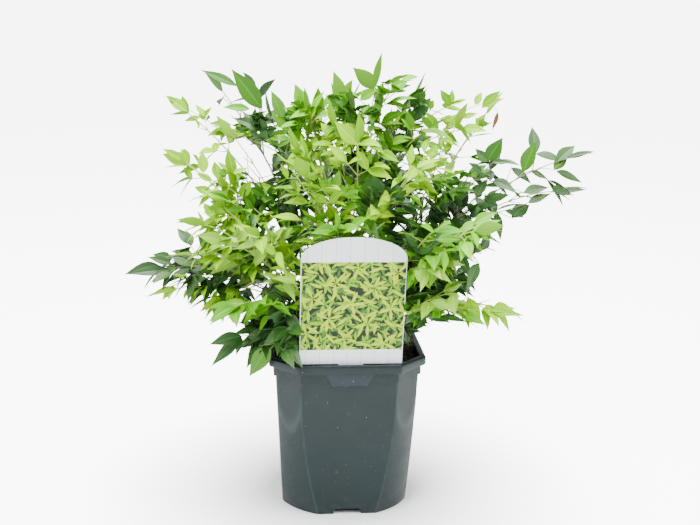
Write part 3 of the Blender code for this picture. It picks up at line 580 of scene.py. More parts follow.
def leaflet_graph():
    """A leaflet on every point, turned to its axis and face, hung by its droop."""
    g = Growth("leaflets on points", Leaflet="Object", Droop="Float", Upperside="Material",
               Underside="Material")
    axis, face, size = (g.named(name, "FLOAT_VECTOR") for name in ("axis", "face", "size"))
    turn = g.add("FunctionNodeAxesToRotation", {0: axis, 1: face}, primary_axis="X", secondary_axis="Z")[0]
    leaves = g.spread(g.given["Geometry"], "Leaflet", turn, size)
    hang = g.times(g.calc("POWER", g.named("along"), 2.0), g.named("droop"))
    down = g.times(g.times(hang, g.given["Droop"]), -1.0)
    offset = g.add("ShaderNodeCombineXYZ", {2: down})[0]
    hung = g.add("SetPosition", {"Geometry": leaves, "Offset": offset})[0]
    under = g.named("under", "BOOLEAN")
    g.fill(g.end, {0: g.paint(g.paint(hung, "Upperside"), "Underside", Selection=under)})
    return g


def stalk_graph():
    """A round tapering stalk along every line of points."""
    g = Growth("stalks along lines", Sides="Int", Thickness="Float", Bark="Material")
    line = g.add("MeshToCurve", {0: g.given["Geometry"]})[0]
    ring = g.add("CurvePrimitiveCircle", {"Resolution": g.given["Sides"], "Radius": 1.0})[0]
    size = g.times(g.named("thick"), g.given["Thickness"])
    tube = g.add("CurveToMesh", {0: line, 1: ring, "Scale": size, "Fill Caps": True})[0]
    g.fill(g.end, {0: g.paint(g.add("SetShadeSmooth", {0: tube})[0], "Bark")})
    return g


def crumb_graph():
    """Crumbs strewn over a surface, each turned and sized by chance."""
    g = Growth("crumbs on a surface", Density="Float", Smallest="Float", Largest="Float", Seed="Int",
               Crumb="Object", Finish="Material")
    seed = g.given["Seed"]
    strewn = g.add("DistributePointsOnFaces", {"Mesh": g.given["Geometry"], "Density": g.given["Density"],
                                               "Seed": seed})[0]
    full_turn = (6.28, 6.28, 6.28)
    turn = g.add("FunctionNodeRandomValue", {1: full_turn, "Seed": seed}, data_type="FLOAT_VECTOR")[0]
    low, high = (g.add("ShaderNodeCombineXYZ", dict.fromkeys(range(3), g.given[size]))[0]
                 for size in ("Smallest", "Largest"))
    size = g.add("FunctionNodeRandomValue", {0: low, 1: high, "Seed": g.calc("ADD", seed, 7)},
                 data_type="FLOAT_VECTOR")[0]
    g.fill(g.end, {0: g.paint(g.spread(strewn, "Crumb", turn, size), "Finish")})
    return g


# Pot

BODY_TOP = POT_HEIGHT - RIM_DEPTH - BAND_DEPTH
LIP = POT_HEIGHT - RIM_DEPTH  # the lower edge of the lip
FACE = POT_ACROSS / 2 - RIM_PROUD  # how far out the band lies
BODY_LEVELS = 104
EDGE = 0.0006  # radius of the lip's lower and inner edge
STEP = 0.0004  # height over which the body steps out to the band
CREASE_HIGHLIGHT_WIDTH = 0.0005  # width of the pale line painted along a crease as a highlight
NEAR = 0.001  # how far round a place its painted highlight reaches


def soft_least(stack):
    """The least of several distances, with its creases rounded."""
    least = stack.min(axis=0)
    return least - CREASE * np.log(np.exp(-(stack - least) / CREASE).sum(axis=0))


def side_distances(angles, z, proud):
    """How far out the cone, the flat sides and the cut corners lie at each angle and height."""
    drop = np.maximum(0, BODY_TOP - z) + 0 * angles
    shrink = RIM_PROUD + BAND_PROUD - proud
    off = (angles + math.pi / 4) % (math.pi / 2) - math.pi / 4
    flat = (POT_ACROSS / 2 - shrink - BODY_LEAN * drop) / np.cos(off)
    corner = (POT_ACROSS + RIM_FACE) / 2 / math.sqrt(2) - shrink - CORNER_LEAN * drop
    tip = math.hypot(POT_ACROSS / 2, RIM_FACE / 2) - shrink
    cone = BASE_RADIUS + (tip - BASE_RADIUS) * (1 - (drop / BODY_TOP) ** BODY_SWELL)
    return np.stack((cone, flat, corner / np.cos(math.pi / 4 - np.abs(off))))


def pot_ring(z, proud):
    """One level of the pot's outside: flat sides and corners cut into a cone."""
    angles = np.linspace(0, 2 * math.pi, POT_TURNS, endpoint=False)
    radius = soft_least(side_distances(angles, z, proud))
    return np.stack((radius * np.cos(angles), radius * np.sin(angles), np.full_like(angles, z)), axis=1)


def inset(ring, distance, z=None):
    """A ring moved in towards the pot's axis."""
    reach = np.hypot(ring[:, 0], ring[:, 1])[:, None]
    moved = ring.copy()
    moved[:, :2] *= (reach - distance) / reach
    if z is not None:
        moved[:, 2] = z
    return moved


def skin(name, rings, smooth=40):
    """A closed surface through rings of equal count, with a fan at each end."""
    count = len(rings[0])
    around = [(i, (i + 1) % count) for i in range(count)]
    last = (len(rings) - 1) * count
    faces = [(a + i, a + j, a + count + j, a + count + i) for a in range(0, last, count) for i, j in around]
    faces += [(j, i, last + count) for i, j in around]
    faces += [(last + i, last + j, last + count + 1) for i, j in around]
    verts = [*np.concatenate(rings), rings[0].mean(axis=0), rings[-1].mean(axis=0)]
    return piece(name, verts, faces, smooth)


def rounded(radius, steps=4):
    """A quarter turn: how far in and how far up each step lies."""
    return [(radius * (1 - math.cos(t)), radius * math.sin(t))
            for t in np.linspace(0, math.pi / 2, steps + 1)]


def pot_rings():
    """The pot's section, from the middle of its underside up the outside and down the inside."""
    top = pot_ring(POT_HEIGHT, RIM_PROUD + BAND_PROUD)
    inner = pot_ring(POT_HEIGHT, BAND_PROUD)
    foot = pot_ring(BASE_ROUND, 0)
    rings = [inset(pot_ring(0, 0), BASE_ROUND + 0.0045)]
    rings += [inset(foot, back, BASE_ROUND - up) for back, up in reversed(rounded(BASE_ROUND))]
    rings += [pot_ring(z, 0) for z in np.linspace(BASE_ROUND + 0.0012, BODY_TOP - EDGE, BODY_LEVELS)]
    rings += [pot_ring(BODY_TOP + STEP * share, BAND_PROUD * share) for share in (0, 0.5, 1)]
    rings += [pot_ring(z, BAND_PROUD) for z in np.linspace(BODY_TOP + 0.0010, LIP - EDGE, 5)]
    rings.append(pot_ring(LIP - 0.0001, BAND_PROUD + 0.0002))
    rings += [inset(top, back, LIP + EDGE - up) for back, up in reversed(rounded(EDGE, 3))]
    rings += [inset(top, back, POT_HEIGHT - RIM_ROUND + up) for back, up in rounded(RIM_ROUND)]
    rings += [inset(inner, WALL - back, POT_HEIGHT - EDGE + up) for back, up in reversed(rounded(EDGE, 3))]
    rings += [inset(inner, WALL, z) for z in (0.172, 0.168, 0.164, BODY_TOP + STEP)]
    return rings + [inset(pot_ring(z, 0), WALL, z) for z in (BODY_TOP, 0.12, 0.09, 0.05, 0.003)]


def tab_shape():
    """The tapering tab under the lip at the front."""
    bm = bmesh.new()
    bmesh.ops.create_cube(bm, size=1)
    for vert in bm.verts:
        high, before = vert.co.z > 0, vert.co.y < 0
        vert.co = Vector((math.copysign(TAB_TOP / 2 if high else TAB_FOOT / 2, vert.co.x),
                          -FACE - TAB_PROUD if before else -FACE + 0.003,
                          LIP + 0.0007 - (0 if high else TAB_DEPTH)))
    bmesh.ops.bevel(bm, geom=bm.edges[:], offset=TAB_BEVEL, segments=2, affect="EDGES", profile=0.5)
    return cutter("tab", bm)


def notch_shape(turn):
    """What is cut from the foot of one side, narrower at its top."""
    bm = bmesh.new()
    bmesh.ops.create_cube(bm, size=1)
    bmesh.ops.scale(bm, verts=bm.verts, vec=(2 * NOTCH_DEEP, NOTCH_WIDTH, 2 * NOTCH_HEIGHT))
    for vert in bm.verts:
        if vert.co.z < 0:
            vert.co.y += math.copysign(2 * NOTCH_FLARE, vert.co.y)
    edges = [e for e in bm.edges if abs(e.verts[0].co.x - e.verts[1].co.x) > NOTCH_DEEP]
    bmesh.ops.bevel(bm, geom=edges, offset=0.0008, segments=2, affect="EDGES", profile=0.5)
    foot = FACE - BAND_PROUD - BODY_LEAN * BODY_TOP
    bmesh.ops.translate(bm, verts=bm.verts, vec=(foot, 0, 0))
    bmesh.ops.rotate(bm, verts=bm.verts, matrix=Matrix.Rotation(turn, 3, "Z"))
    return cutter("notch", bm)


def make_pot():
    pot = skin("pot_shell", pot_rings(), smooth=30)
    boolean(pot, tab_shape(), "UNION")
    for side in range(4):
        boolean(pot, notch_shape(side * math.pi / 2), "DIFFERENCE")
    soften(pot.data, 30)
    mark_painted_highlights(pot.data, FACE + TAB_PROUD)
    pot.data.materials.clear()
    pot.data.materials.append(pot_material())
    settle(pot, "pot_plastic", "pot")


def mark_painted_highlights(mesh, tab_front):
    """Note on every vertex how strongly a painted highlight, a pale line along each moulded crease and round
    the tab's bevel, falls on it, and which ones the tab's face has.
    """
    points = np.zeros(len(mesh.vertices) * 3)
    mesh.vertices.foreach_get("co", points)
    x, y, z = points.reshape(-1, 3).T
    order = np.sort(side_distances(np.arctan2(y, x), z, 0.0), axis=0)
    # painted highlight: a pale line along each crease of the body
    crease = np.exp(-((order[1] - order[0]) / CREASE_HIGHLIGHT_WIDTH) ** 2) * (np.hypot(x, y) > order[0] - NEAR)
    crease *= z < BODY_TOP
    behind = y + tab_front
    beside = (z < LIP) & (np.abs(x) < TAB_TOP / 2 + NEAR)
    # the painted highlight also runs round the tab's bevel, a little weaker
    rim = (behind > 1e-5) & (behind < TAB_BEVEL + 1e-5) & beside & (z > LIP - TAB_DEPTH - NEAR)
    note(mesh, "crease", np.maximum(crease, rim * 0.9))
    note(mesh, "tab", ((behind < 1e-5) & beside) * 1.0)


def pot_material():
    """Dark blue-grey moulded plastic: satin, with painted highlights along the creases and the tab's bevel,
    pale specks and a little dust.
    """
    g = Finish("pot plastic", 0.3, Specular_IOR_Level=0.26)
    where = g.place()
    cloud = g.remap(g.grain(where, 14, 4), 0.35, 0.7)
    colour = g.mix(cloud, (0.0045, 0.0115, 0.0130), (0.0070, 0.0150, 0.0170))
    colour = g.mix(g.times(g.attribute("tab"), 0.6), colour, (0.016, 0.022, 0.034))
    # painted highlight: the creases and the tab's bevel lightened
    colour = g.mix(g.times(g.attribute("crease"), 0.25), colour, (0.06, 0.085, 0.085))
    dust = g.times(g.remap(g.split(where)[2], 0.03, 0.0), g.remap(g.grain(where, 90, 5), 0.45, 0.7))
    colour = g.mix(g.times(dust, 0.05), colour, (0.20, 0.20, 0.18))
    away = g.vector("DISTANCE", where, RUST_SPOT)[1]
    away = g.calc("ADD", away, g.times(g.grain(where, 700, 2), 0.002))
    colour = g.mix(g.remap(away, 0.0032, 0.0018, 0.0, 0.6), colour, (0.075, 0.028, 0.014))
    for scale, limit, strength in ((260, 0.085, 0.8), (520, 0.11, 0.45)):
        cells = g.add("TexVoronoi", {"Vector": where, "Scale": scale})
        pick = g.add("SeparateColor", {0: cells["Color"]})[0]
        speck = g.times(g.less(cells["Distance"], limit), g.calc("GREATER_THAN", pick, 0.93))
        colour = g.mix(g.times(speck, strength), colour, (0.42, 0.46, 0.44))
    g.set(Base_Color=colour, Roughness=g.remap(g.grain(where, 60, 5), 0.3, 0.75, 0.28, 0.44))
    g.bump(g.grain(where, 900, 2), 0.00006, 0.5)
    return g.material


# Compost

def soil_height(x, y):
    """The root ball's surface, rough at the edge, with two raised lumps."""
    out = min(1, max(0, math.hypot(x, y) - SOIL_FLAT) / SOIL_EDGE)
    rough = SOIL_ROUGH * math.sin(190 * x + 1.3) * math.cos(170 * y - 0.4)
    lump = sum(high * math.exp(-((x - cx) ** 2 + (y - cy) ** 2) / (2 * wide ** 2))
               for cx, cy, high, wide in LUMPS)
    return SOIL_TOP + (rough + lump) * out


def soil_point(x, y):
    clod = noise.fractal(Vector((x, y, 0.3)) * 160, 0.9, 2.0, 4) * CLOD
    clump = noise.noise(Vector((x, y, 1.7)) * 60) * CLOD
    return (x, y, soil_height(x, y) + clod + clump)


def make_compost():
    edge = inset(pot_ring(POT_HEIGHT, BAND_PROUD), WALL + GAP)[::2]
    rings = [inset(edge, 0.0022, SOIL_SKIRT), inset(edge, 0.0004, SOIL_TOP - 0.004)]
    for share in np.linspace(1, 0.02, 46):
        rings.append(np.array([soil_point(x * share, y * share) for x, y, _ in edge]))
    soil = skin("compost", rings, smooth=60)
    bm = bmesh.new()
    bm.from_mesh(soil.data)
    sunk = [f for f in bm.faces if f.calc_center_median().z < SOIL_TOP - 0.003 or f.normal.z < 0.3]
    bmesh.ops.delete(bm, geom=sunk, context="FACES")
    crumb = crumb_shape()
    graph = crumb_graph()
    earth = soil_material("compost", (0.014, 0.010, 0.007), (0.050, 0.034, 0.022))
    fibre = soil_material("bark fibre", (0.110, 0.066, 0.036), (0.230, 0.150, 0.085))
    soil.data.materials.append(earth)
    settle(soil, "soil", "soil")
    for name, density, small, large, seed, finish in (
            ("crumbs", 62000.0, 0.0007, 0.0022, 3, earth), ("fibres", 6500.0, 0.0004, 0.0019, 11, fibre)):
        bed = bpy.data.meshes.new(name)
        bm.to_mesh(bed)
        strewn = graph.grow(linked(name, bed), Density=density, Smallest=small, Largest=large, Seed=seed,
                            Crumb=crumb, Finish=finish)
        settle(strewn, "soil", "soil")
    bm.free()
    bpy.data.objects.remove(crumb)


def crumb_shape():
    """An uneven little lump."""
    bm = bmesh.new()
    bmesh.ops.create_icosphere(bm, subdivisions=1, radius=1)
    for vert in bm.verts:
        vert.co *= 1 + 0.45 * noise.noise(vert.co * 1.7 + Vector((4, 2, 9)))
    return cutter("crumb", bm)


def soil_material(name, low, high):
    g = Finish(name, 0.9)
    where = g.place()
    g.set(Base_Color=g.mix(g.remap(g.grain(where, 420, 4, 0.7), 0.35, 0.7), low, high))
    g.bump(g.grain(where, 1500, 3), 0.0003, 0.8)
    return g.material


# Label

CARD_PLACE = Matrix.Translation(CARD_FOOT) @ Matrix.Rotation(CARD_LEAN, 4, "X")
ARCH_STEPS = 72
STAKE_POINT = 0.012  # height of the stake's point


def make_label():
    half = CARD_WIDTH / 2
    stake = STAKE_WIDTH / 2
    shoulder = STAKE_POINT - STAKE_LENGTH
    outline = [(-half, 0), (-stake, 0), (-stake, shoulder), (0, -STAKE_LENGTH), (stake, shoulder), (stake, 0),
               (half, 0)]
    outline += [(half * math.cos(turn), CARD_SIDE + CARD_ARCH * math.sin(turn))
                for turn in (math.pi * i / ARCH_STEPS for i in range(ARCH_STEPS + 1))]
    bm = bmesh.new()
    face = bm.faces.new([bm.verts.new((x, -CARD_THICK / 2, z)) for x, z in outline])
    made = bmesh.ops.extrude_face_region(bm, geom=[face])["geom"]
    back = [g for g in made if isinstance(g, bmesh.types.BMVert)]
    bmesh.ops.translate(bm, vec=(0, CARD_THICK, 0), verts=back)
    bmesh.ops.recalc_face_normals(bm, faces=bm.faces[:])
    rims = [e for e in bm.edges
            if e.calc_face_angle(0) > 1.2 and abs(e.verts[0].co.y - e.verts[1].co.y) < 1e-6]
    bmesh.ops.bevel(bm, geom=rims, offset=0.00012, segments=1, affect="EDGES", profile=0.5)
    layer = bm.loops.layers.uv.new("card")
    for face in bm.faces:
        for loop in face.loops:
            loop[layer].uv = (loop.vert.co.x, loop.vert.co.z)
    bmesh.ops.transform(bm, matrix=CARD_PLACE, verts=bm.verts[:])
    label = cutter("label_card", bm)
    soften(label.data, 25)
    label.data.materials.append(label_material())
    settle(label, "label_card", "label")


def leaf_layer(g, uv, colour, size, turn, shift, tones, rays):
    """One layer of printed motifs, one to a cell, turned and toned by chance: leaves, or stars of them."""
    moved = g.add("Mapping", {"Vector": uv, "Location": shift, "Rotation": (0, 0, turn),
                              "Scale": (1 / size, 1 / size, 1)})[0]
    chance = g.add("TexWhiteNoise", {0: g.vector("FLOOR", moved)[0]})
    middle = (0.5, 0.5, 0)
    turned = g.add("VectorRotate", {"Vector": g.vector("FRACTION", moved)[0], "Center": middle,
                                    "Angle": g.times(chance[0], 6.283)})[0]
    centred = g.vector("SUBTRACT", turned, middle)[0]
    x, y, _ = g.split(centred)
    half, broad = 0.49, 0.10
    if rays:
        step = 2 * math.pi / rays
        around = g.calc("FLOORED_MODULO", g.calc("ADD", g.calc("ARCTAN2", y, x), step / 2), step)
        around = g.calc("SUBTRACT", around, step / 2)
        out = g.vector("LENGTH", centred)[1]
        x = g.calc("SUBTRACT", g.times(out, g.calc("COSINE", around)), 0.25)
        y = g.times(out, g.calc("SINE", around))
        half, broad = 0.24, 0.055
    x = g.calc("DIVIDE", x, half)
    room = g.calc("SUBTRACT", 1.0, g.times(x, x))
    wide = g.times(room, g.calc("MULTIPLY_ADD", x, 0.3 * broad, broad))
    beside = g.calc("ABSOLUTE", y)
    pick = g.add("SeparateColor", {0: chance[1]})[1]
    tone = g.mix(pick, tones[0], tones[1])
    tone = g.mix(g.times(g.calc("GREATER_THAN", y, 0.0), 0.45), tone, tones[2])
    tone = g.mix(g.times(g.less(beside, 0.008), 0.5), tone, tones[1])
    return g.mix(g.calc("GREATER_THAN", wide, beside), colour, tone)


def label_material():
    """Printed card: whitewashed planks, and a field of plain leaf motifs."""
    g = Finish("printed card", 0.4, Specular_IOR_Level=0.2)
    uv = g.add("UVMap", uv_map="card")[0]
    across, up, _ = g.split(uv)
    plank = g.calc("DIVIDE", g.calc("ADD", across, 0.2), PLANK)
    off_seam = g.calc("ABSOLUTE", g.calc("SUBTRACT", g.calc("FRACT", plank), 0.5))
    tint = g.add("TexWhiteNoise", {1: g.calc("FLOOR", g.calc("ADD", plank, 0.5))}, noise_dimensions="1D")[0]
    drawn_out = g.add("Mapping", {"Vector": uv, "Scale": (900, 60, 1)})[0]
    streak = g.remap(g.grain(drawn_out, 1.0, 3), 0.35, 0.75)
    ground = g.mix(g.times(tint, 0.6), (0.83, 0.86, 0.88), (0.70, 0.75, 0.79))
    ground = g.mix(g.times(streak, 0.28), ground, (0.56, 0.61, 0.66))
    ground = g.mix(g.times(g.less(off_seam, 0.022), 0.7), ground, (0.40, 0.44, 0.48))
    picture = (0.008, 0.018, 0.007)
    green = ((0.022, 0.070, 0.012), (0.060, 0.150, 0.016), (0.090, 0.200, 0.026))
    fresh = ((0.120, 0.300, 0.002), (0.210, 0.430, 0.002), (0.280, 0.500, 0.006))
    lime = ((0.310, 0.450, 0.001), (0.420, 0.550, 0.001), (0.490, 0.600, 0.003))
    for size, turn, shift, tones, rays in (
            (0.0150, 0.3, (0.11, 0.37, 0), green, 0), (0.0170, 1.1, (0.41, 0.05, 0), green, 0),
            (0.0140, 2.0, (0.77, 0.21, 0), fresh, 0), (0.0200, 2.3, (0.15, 0.71, 0), green, 5),
            (0.0130, 0.7, (0.29, 0.63, 0), fresh, 0), (0.0230, 1.6, (0.53, 0.87, 0), fresh, 5),
            (0.0160, 1.3, (0.67, 0.33, 0), lime, 0), (0.0290, 2.5, (0.93, 0.48, 0), lime, 5)):
        picture = leaf_layer(g, uv, picture, size, turn, shift, tones, rays)
    within = g.less(g.calc("ABSOLUTE", across), CARD_WIDTH / 2 - PICTURE_SIDE)
    within = g.times(within, g.less(up, PICTURE_HIGH))
    within = g.times(within, g.calc("GREATER_THAN", up, PICTURE_LOW))
    facing = g.split(g.add("NewGeometry")["True Normal"])[1]
    g.set(Base_Color=g.mix(g.times(within, g.less(facing, -0.9)), ground, picture))
    return g.material


# Canes

def bend(start, knee, end, t):
    """A point on the smooth curve that leaves start towards knee and arrives at end."""
    return start.lerp(knee, t).lerp(knee.lerp(end, t), t)


def polar(azimuth, radius):
    turn = math.radians(azimuth)
    return Vector((radius * math.cos(turn), radius * math.sin(turn), 0))


class Cane:
    """One upright stem: a curve that starts straight up and leans out."""

    def __init__(self, azimuth, radius, height, lean):
        self.foot = polar(azimuth, radius) + Vector((0, 0, SOIL_TOP + GAP))
        self.knee = self.foot + Vector((0, 0, CANE_KNEE * height))
        self.tip = self.foot + polar(azimuth, lean) + Vector((0, 0, height))
        self.height = height

    def at(self, t):
        return bend(self.foot, self.knee, self.tip, t)

    def radius(self, t):
        return CANE_RADIUS + (CANE_TIP - CANE_RADIUS) * t


def cane_rings(cane, seed):
    """Ridged bark with swollen joints and the ragged sheaths of old leaves."""
    rings = []
    steps = int(cane.height / CANE_LEVEL)
    for i in range(steps + 1):
        t = i / steps
        centre = cane.at(t)
        heading = (cane.at(min(1, t + 0.01)) - cane.at(max(0, t - 0.01))).normalized()
        side = heading.orthogonal().normalized()
        other = heading.cross(side)
        rise = (t * cane.height / CANE_JOINT) % 1
        joint = math.exp(-((rise - 0.5) / 0.08) ** 2)
        sheath = CANE_SHEATH * max(0, 1 - rise / 0.5) if t < CANE_BARE else 0
        ring = []
        for k in range(CANE_TURNS):
            turn = 2 * math.pi * k / CANE_TURNS
            x, y = math.cos(turn), math.sin(turn)
            ridge = noise.noise(Vector((x * 2.2, y * 2.2, t * 3 + seed)))
            flake = noise.noise(Vector((x * 5, y * 5, t * 30 + seed)))
            grown = CANE_GIRTH + CANE_SWELL * joint + sheath + CANE_RIDGE * ridge + CANE_FLAKE * flake
            ring.append(centre + (side * x + other * y) * (cane.radius(t) * grown))
        rings.append(np.array([tuple(p) for p in ring]))
    return rings


def make_canes():
    canes = {}
    bark = bark_material()
    for index, (name, *sizes) in enumerate(CANES):
        canes[name] = Cane(*sizes)
        rings = cane_rings(canes[name], 7.3 * index)
        cap = rings[-1]
        middle = cap.mean(axis=0)
        rings = [rings[0] - (0, 0, CANE_SUNK), *rings, middle + (cap - middle) * 0.5 + (0, 0, CANE_CAP)]
        obj = skin(f"bark_{name}", rings, smooth=70)
        obj.data.materials.append(bark)
        settle(obj, "cane_bark", f"cane_{name}")
    return canes


def bark_material():
    g = Finish("cane bark", 0.7)
    where = g.place()
    long = g.add("Mapping", {"Vector": where, "Scale": (1, 1, 0.16)})[0]
    line = g.remap(g.grain(long, 900, 4, 0.6), 0.35, 0.7)
    patch = g.times(g.remap(g.grain(where, 80, 3), 0.4, 0.65), 0.5)
    colour = g.mix(line, (0.120, 0.085, 0.040), (0.260, 0.215, 0.105))
    g.set(Base_Color=g.mix(patch, colour, (0.140, 0.170, 0.055)))
    g.bump(line, 0.0003, 0.7)
    return g.material


# Sprays

def leaf_tip(leaf):
    azimuth, elevation, reach = leaf[:3]
    rise = math.radians(elevation)
    return HEART + (polar(azimuth, math.cos(rise)) + Vector((0, 0, math.sin(rise)))) * reach / 1000


def arched(start, tip):
    """The knee of a stalk: it arches the more, the more level it runs."""
    level = math.hypot(tip.x - start.x, tip.y - start.y)
    return start.lerp(tip, KNEE) + Vector((0, 0, ARCH * level))


def straight(start, end):
    """The points of a twig."""
    return [start.lerp(end, i / TWIG_STEPS) for i in range(TWIG_STEPS + 1)]


def taper(first, last, steps):
    """A line's radius at each of its points."""
    return [first + (last - first) * i / steps for i in range(steps + 1)]


class Frond:
    """A compound leaf: a bent stalk, opposite side twigs and pointed leaflets."""

    def __init__(self, key, start, leaf, bends, thick):
        leaflet, roll, self.tint = leaf[3:]
        draw = random.Random(key)
        tip = leaf_tip(leaf)
        self.leaflet = leaflet / 1000
        self.knee = arched(start, tip)
        self.end = tip - self.leaflet * (tip - self.knee).normalized()
        self.stalk = [bend(start, self.knee, self.end, t) for t in bends]
        heading = (self.stalk[-1] - self.stalk[-2]).normalized()
        across = heading.cross(Vector((0, 0, 1))).normalized()
        self.across = Matrix.Rotation(math.radians(roll), 3, heading) @ across
        self.droop = LEAF_DROOP * (1 - max(0, heading.z))
        self.face = Vector((heading.x, heading.y, 0)) * FACE_OUT + Vector((0, 0, 1))
        line = [bend(start, self.knee, self.end, i / STALK_STEPS) for i in range(STALK_STEPS + 1)]
        self.lines = [(line, taper(thick, STALK_TIP, STALK_STEPS))]
        self.leaves = []
        self.trio(self.end, heading, self.leaflet, draw)
        first = 2 if len(bends) > len(SIDE_BENDS) else 1
        for at in range(first, len(bends) - 1):
            self.side_pair(at, at == TWIGGY, SIDE_REACH * (tip - start).length, draw)

    def trio(self, end, heading, length, draw):
        """An end leaflet and the two opposite ones beside it."""
        self.leaf(end, heading, length, draw)
        for side in (-1, 1):
            turn = math.radians(draw.uniform(*PAIR_TURN))
            axis = heading * math.cos(turn) + self.across * side * math.sin(turn)
            axis.z -= self.droop * draw.uniform(*PAIR_DROOP)
            self.leaf(end - heading * PAIR_BACK, axis, length * draw.uniform(*PAIR_SIZE), draw)

    def leaf(self, root, axis, length, draw):
        """One leaflet, turned to face up and out of the crown."""
        axis = axis.normalized()
        face = self.face + Vector([draw.uniform(-FACE_TURN, FACE_TURN) for _ in range(3)])
        normal = (face - axis * face.dot(axis)).normalized()
        wide = LEAF_WIDE * draw.uniform(*WIDTHS)
        self.leaves.append((root, axis, normal, length, wide, draw.random(), draw.random()))

    def side_pair(self, at, twiggy, reach, draw):
        """Opposite twigs at a bend of the stalk, each with three leaflets or, on a long one, five."""
        root = self.stalk[at]
        heading = (self.stalk[at + 1] - root).normalized()
        for side in (-1, 1):
            turn = math.radians(draw.uniform(*TWIG_TURN))
            axis = heading * math.cos(turn) + self.across * side * math.sin(turn)
            axis.z += draw.uniform(*TWIG_RISE)
            axis.normalize()
            size = self.leaflet * draw.uniform(*TWIG_LEAFLET)
            long = reach if twiggy else SHORT_REACH * self.leaflet
            tip = root + axis * long * draw.uniform(*TWIG_LENGTH)
            self.lines.append((straight(root, tip), taper(TWIG_RADIUS, TWIG_TIP, TWIG_STEPS)))
            self.trio(tip, axis, size * (1 if twiggy else SHORT_SIZE), draw)
            if not twiggy:
                continue
            aside = heading.cross(axis).cross(axis).normalized()
            for hand in (-1, 1):
                out = axis * MIDDLE_AHEAD + aside * hand * MIDDLE_ASIDE
                out.z -= self.droop * draw.uniform(*MIDDLE_DROOP)
                self.leaf(root.lerp(tip, 0.5), out, size * MIDDLE_SIZE, draw)


def stem_start(cane, share, azimuth):
    """Where a stem leaves its cane: from the tip, or from inside the bark on its own side."""
    base = cane.at(share)
    if share >= 1:
        return base - (cane.tip - cane.knee).normalized() * STEM_SUNK
    return base + polar(azimuth, 1) * cane.radius(share) * STEM_INSIDE


def spray_fronds(name, start, leaves):
    stem = Frond(f"{name}_0", start, leaves[0], STEM_BENDS, STEM_RADIUS)
    fronds = [stem]

    def grow(key, fork, leaf):
        fronds.append(Frond(f"{name}_{key}", fork, leaf, SIDE_BENDS, STALK_RADIUS))

    for index, (leaf, fork) in enumerate(zip(leaves[1:], FORKS), 1):
        grow(index, stem.stalk[0].lerp(stem.stalk[1], fork), leaf)
    for index in range(INNER):
        draw = random.Random(f"{name}_inner_{index}")
        azimuth, elevation, reach, leaflet, _, tint = leaves[index % len(leaves)]
        azimuth += draw.uniform(-INNER_TURN, INNER_TURN)
        elevation += draw.uniform(-INNER_RISE, INNER_RISE)
        reach *= draw.uniform(*INNER_REACH)
        # one tint darker: painted shade inside the crown
        leaf = (azimuth, elevation, reach, leaflet, draw.uniform(-INNER_ROLL, INNER_ROLL), SHADED_INNER_TINT[tint])
        grow(f"inner_leaf_{index}", bend(start, stem.knee, stem.end, draw.uniform(*INNER_FORK)), leaf)
    numbered = enumerate((spray, *row) for spray, rows in FINER.items() for row in rows)
    for index, (spray, share, x, y, depth, leaflet, tint) in numbered:
        if spray == name:
            roll = ROLL_STEP * index % (2 * ROLL_MOST) - ROLL_MOST
            leaf = (*seen_from_heart(x, y, depth), leaflet, roll, tint)
            grow(f"finer_{index}", bend(start, stem.knee, stem.end, share), leaf)
    return fronds


def behind_picture(x, y, depth):
    """The point behind a place in the picture, at a depth in mm."""
    right, up, ahead = camera_axes()
    ray = ahead + right * (x - IMAGE_WIDE / 2) / FOCAL_PIXELS - up * (y - IMAGE_HIGH / 2) / FOCAL_PIXELS
    return EYE + ray * (depth / 1000 - EYE.y) / ray.y


def seen_from_heart(x, y, depth):
    """That point as azimuth, elevation and reach in mm."""
    point = behind_picture(x, y, depth) - HEART
    azimuth, elevation = math.atan2(point.y, point.x), math.asin(point.z / point.length)
    return math.degrees(azimuth), math.degrees(elevation), point.length * 1000


def kept_clear(point):
    """Whether the picture shows no leaflet where this point would be."""
    right, up, ahead = camera_axes()
    away = point - EYE
    x = IMAGE_WIDE / 2 + FOCAL_PIXELS * away.dot(right) / away.dot(ahead)
    y = IMAGE_HIGH / 2 - FOCAL_PIXELS * away.dot(up) / away.dot(ahead)
    return any(((x - cx) / wide) ** 2 + ((y - cy) / high) ** 2 < 1 for cx, cy, wide, high in CLEAR)


def blocked(point):
    """Whether a point would enter the pot, touch the card or hang before it."""
    wide = max(abs(point.x), abs(point.y))
    if point.z < POT_HEIGHT + POT_CLEAR and wide < POT_ACROSS / 2 + POT_CLEAR:
        return True
    across, behind, up = CARD_PLACE.inverted() @ point
    beside = abs(across) >= CARD_WIDTH / 2 + LABEL_CLEAR
    above = up >= CARD_SIDE + CARD_ARCH + LABEL_CLEAR
    if abs(behind) < LABEL_CLEAR and not (beside or above):
        return True
    before = behind < 0 and abs(across) < CARD_SHOWN * CARD_WIDTH
    return before and up + behind * LOOK_DOWN < CARD_SIDE + CARD_ARCH


def edge_twig(depth, stalk, leaflets):
    """A twig's points, and its leaflets lying broadside to the camera."""
    line = [behind_picture(x, y, depth) for x, y in stalk]
    aside, up = BROADSIDE
    leaves = []
    for index, (tint, wide, *ends) in enumerate(leaflets):
        root = behind_picture(*ends[:2], depth)
        span = behind_picture(*ends[2:], depth + STAGGER * (index % 3 - 1)) - root
        axis = span.normalized()
        face = (EYE - root).normalized() + Vector((aside * (-1) ** index, 0, up))
        normal = (face - axis * face.dot(axis)).normalized()
        leaves.append((tint, (root, axis, normal, span.length, wide, 0.0, index * SHADE_STEP % 1)))
    return line, leaves


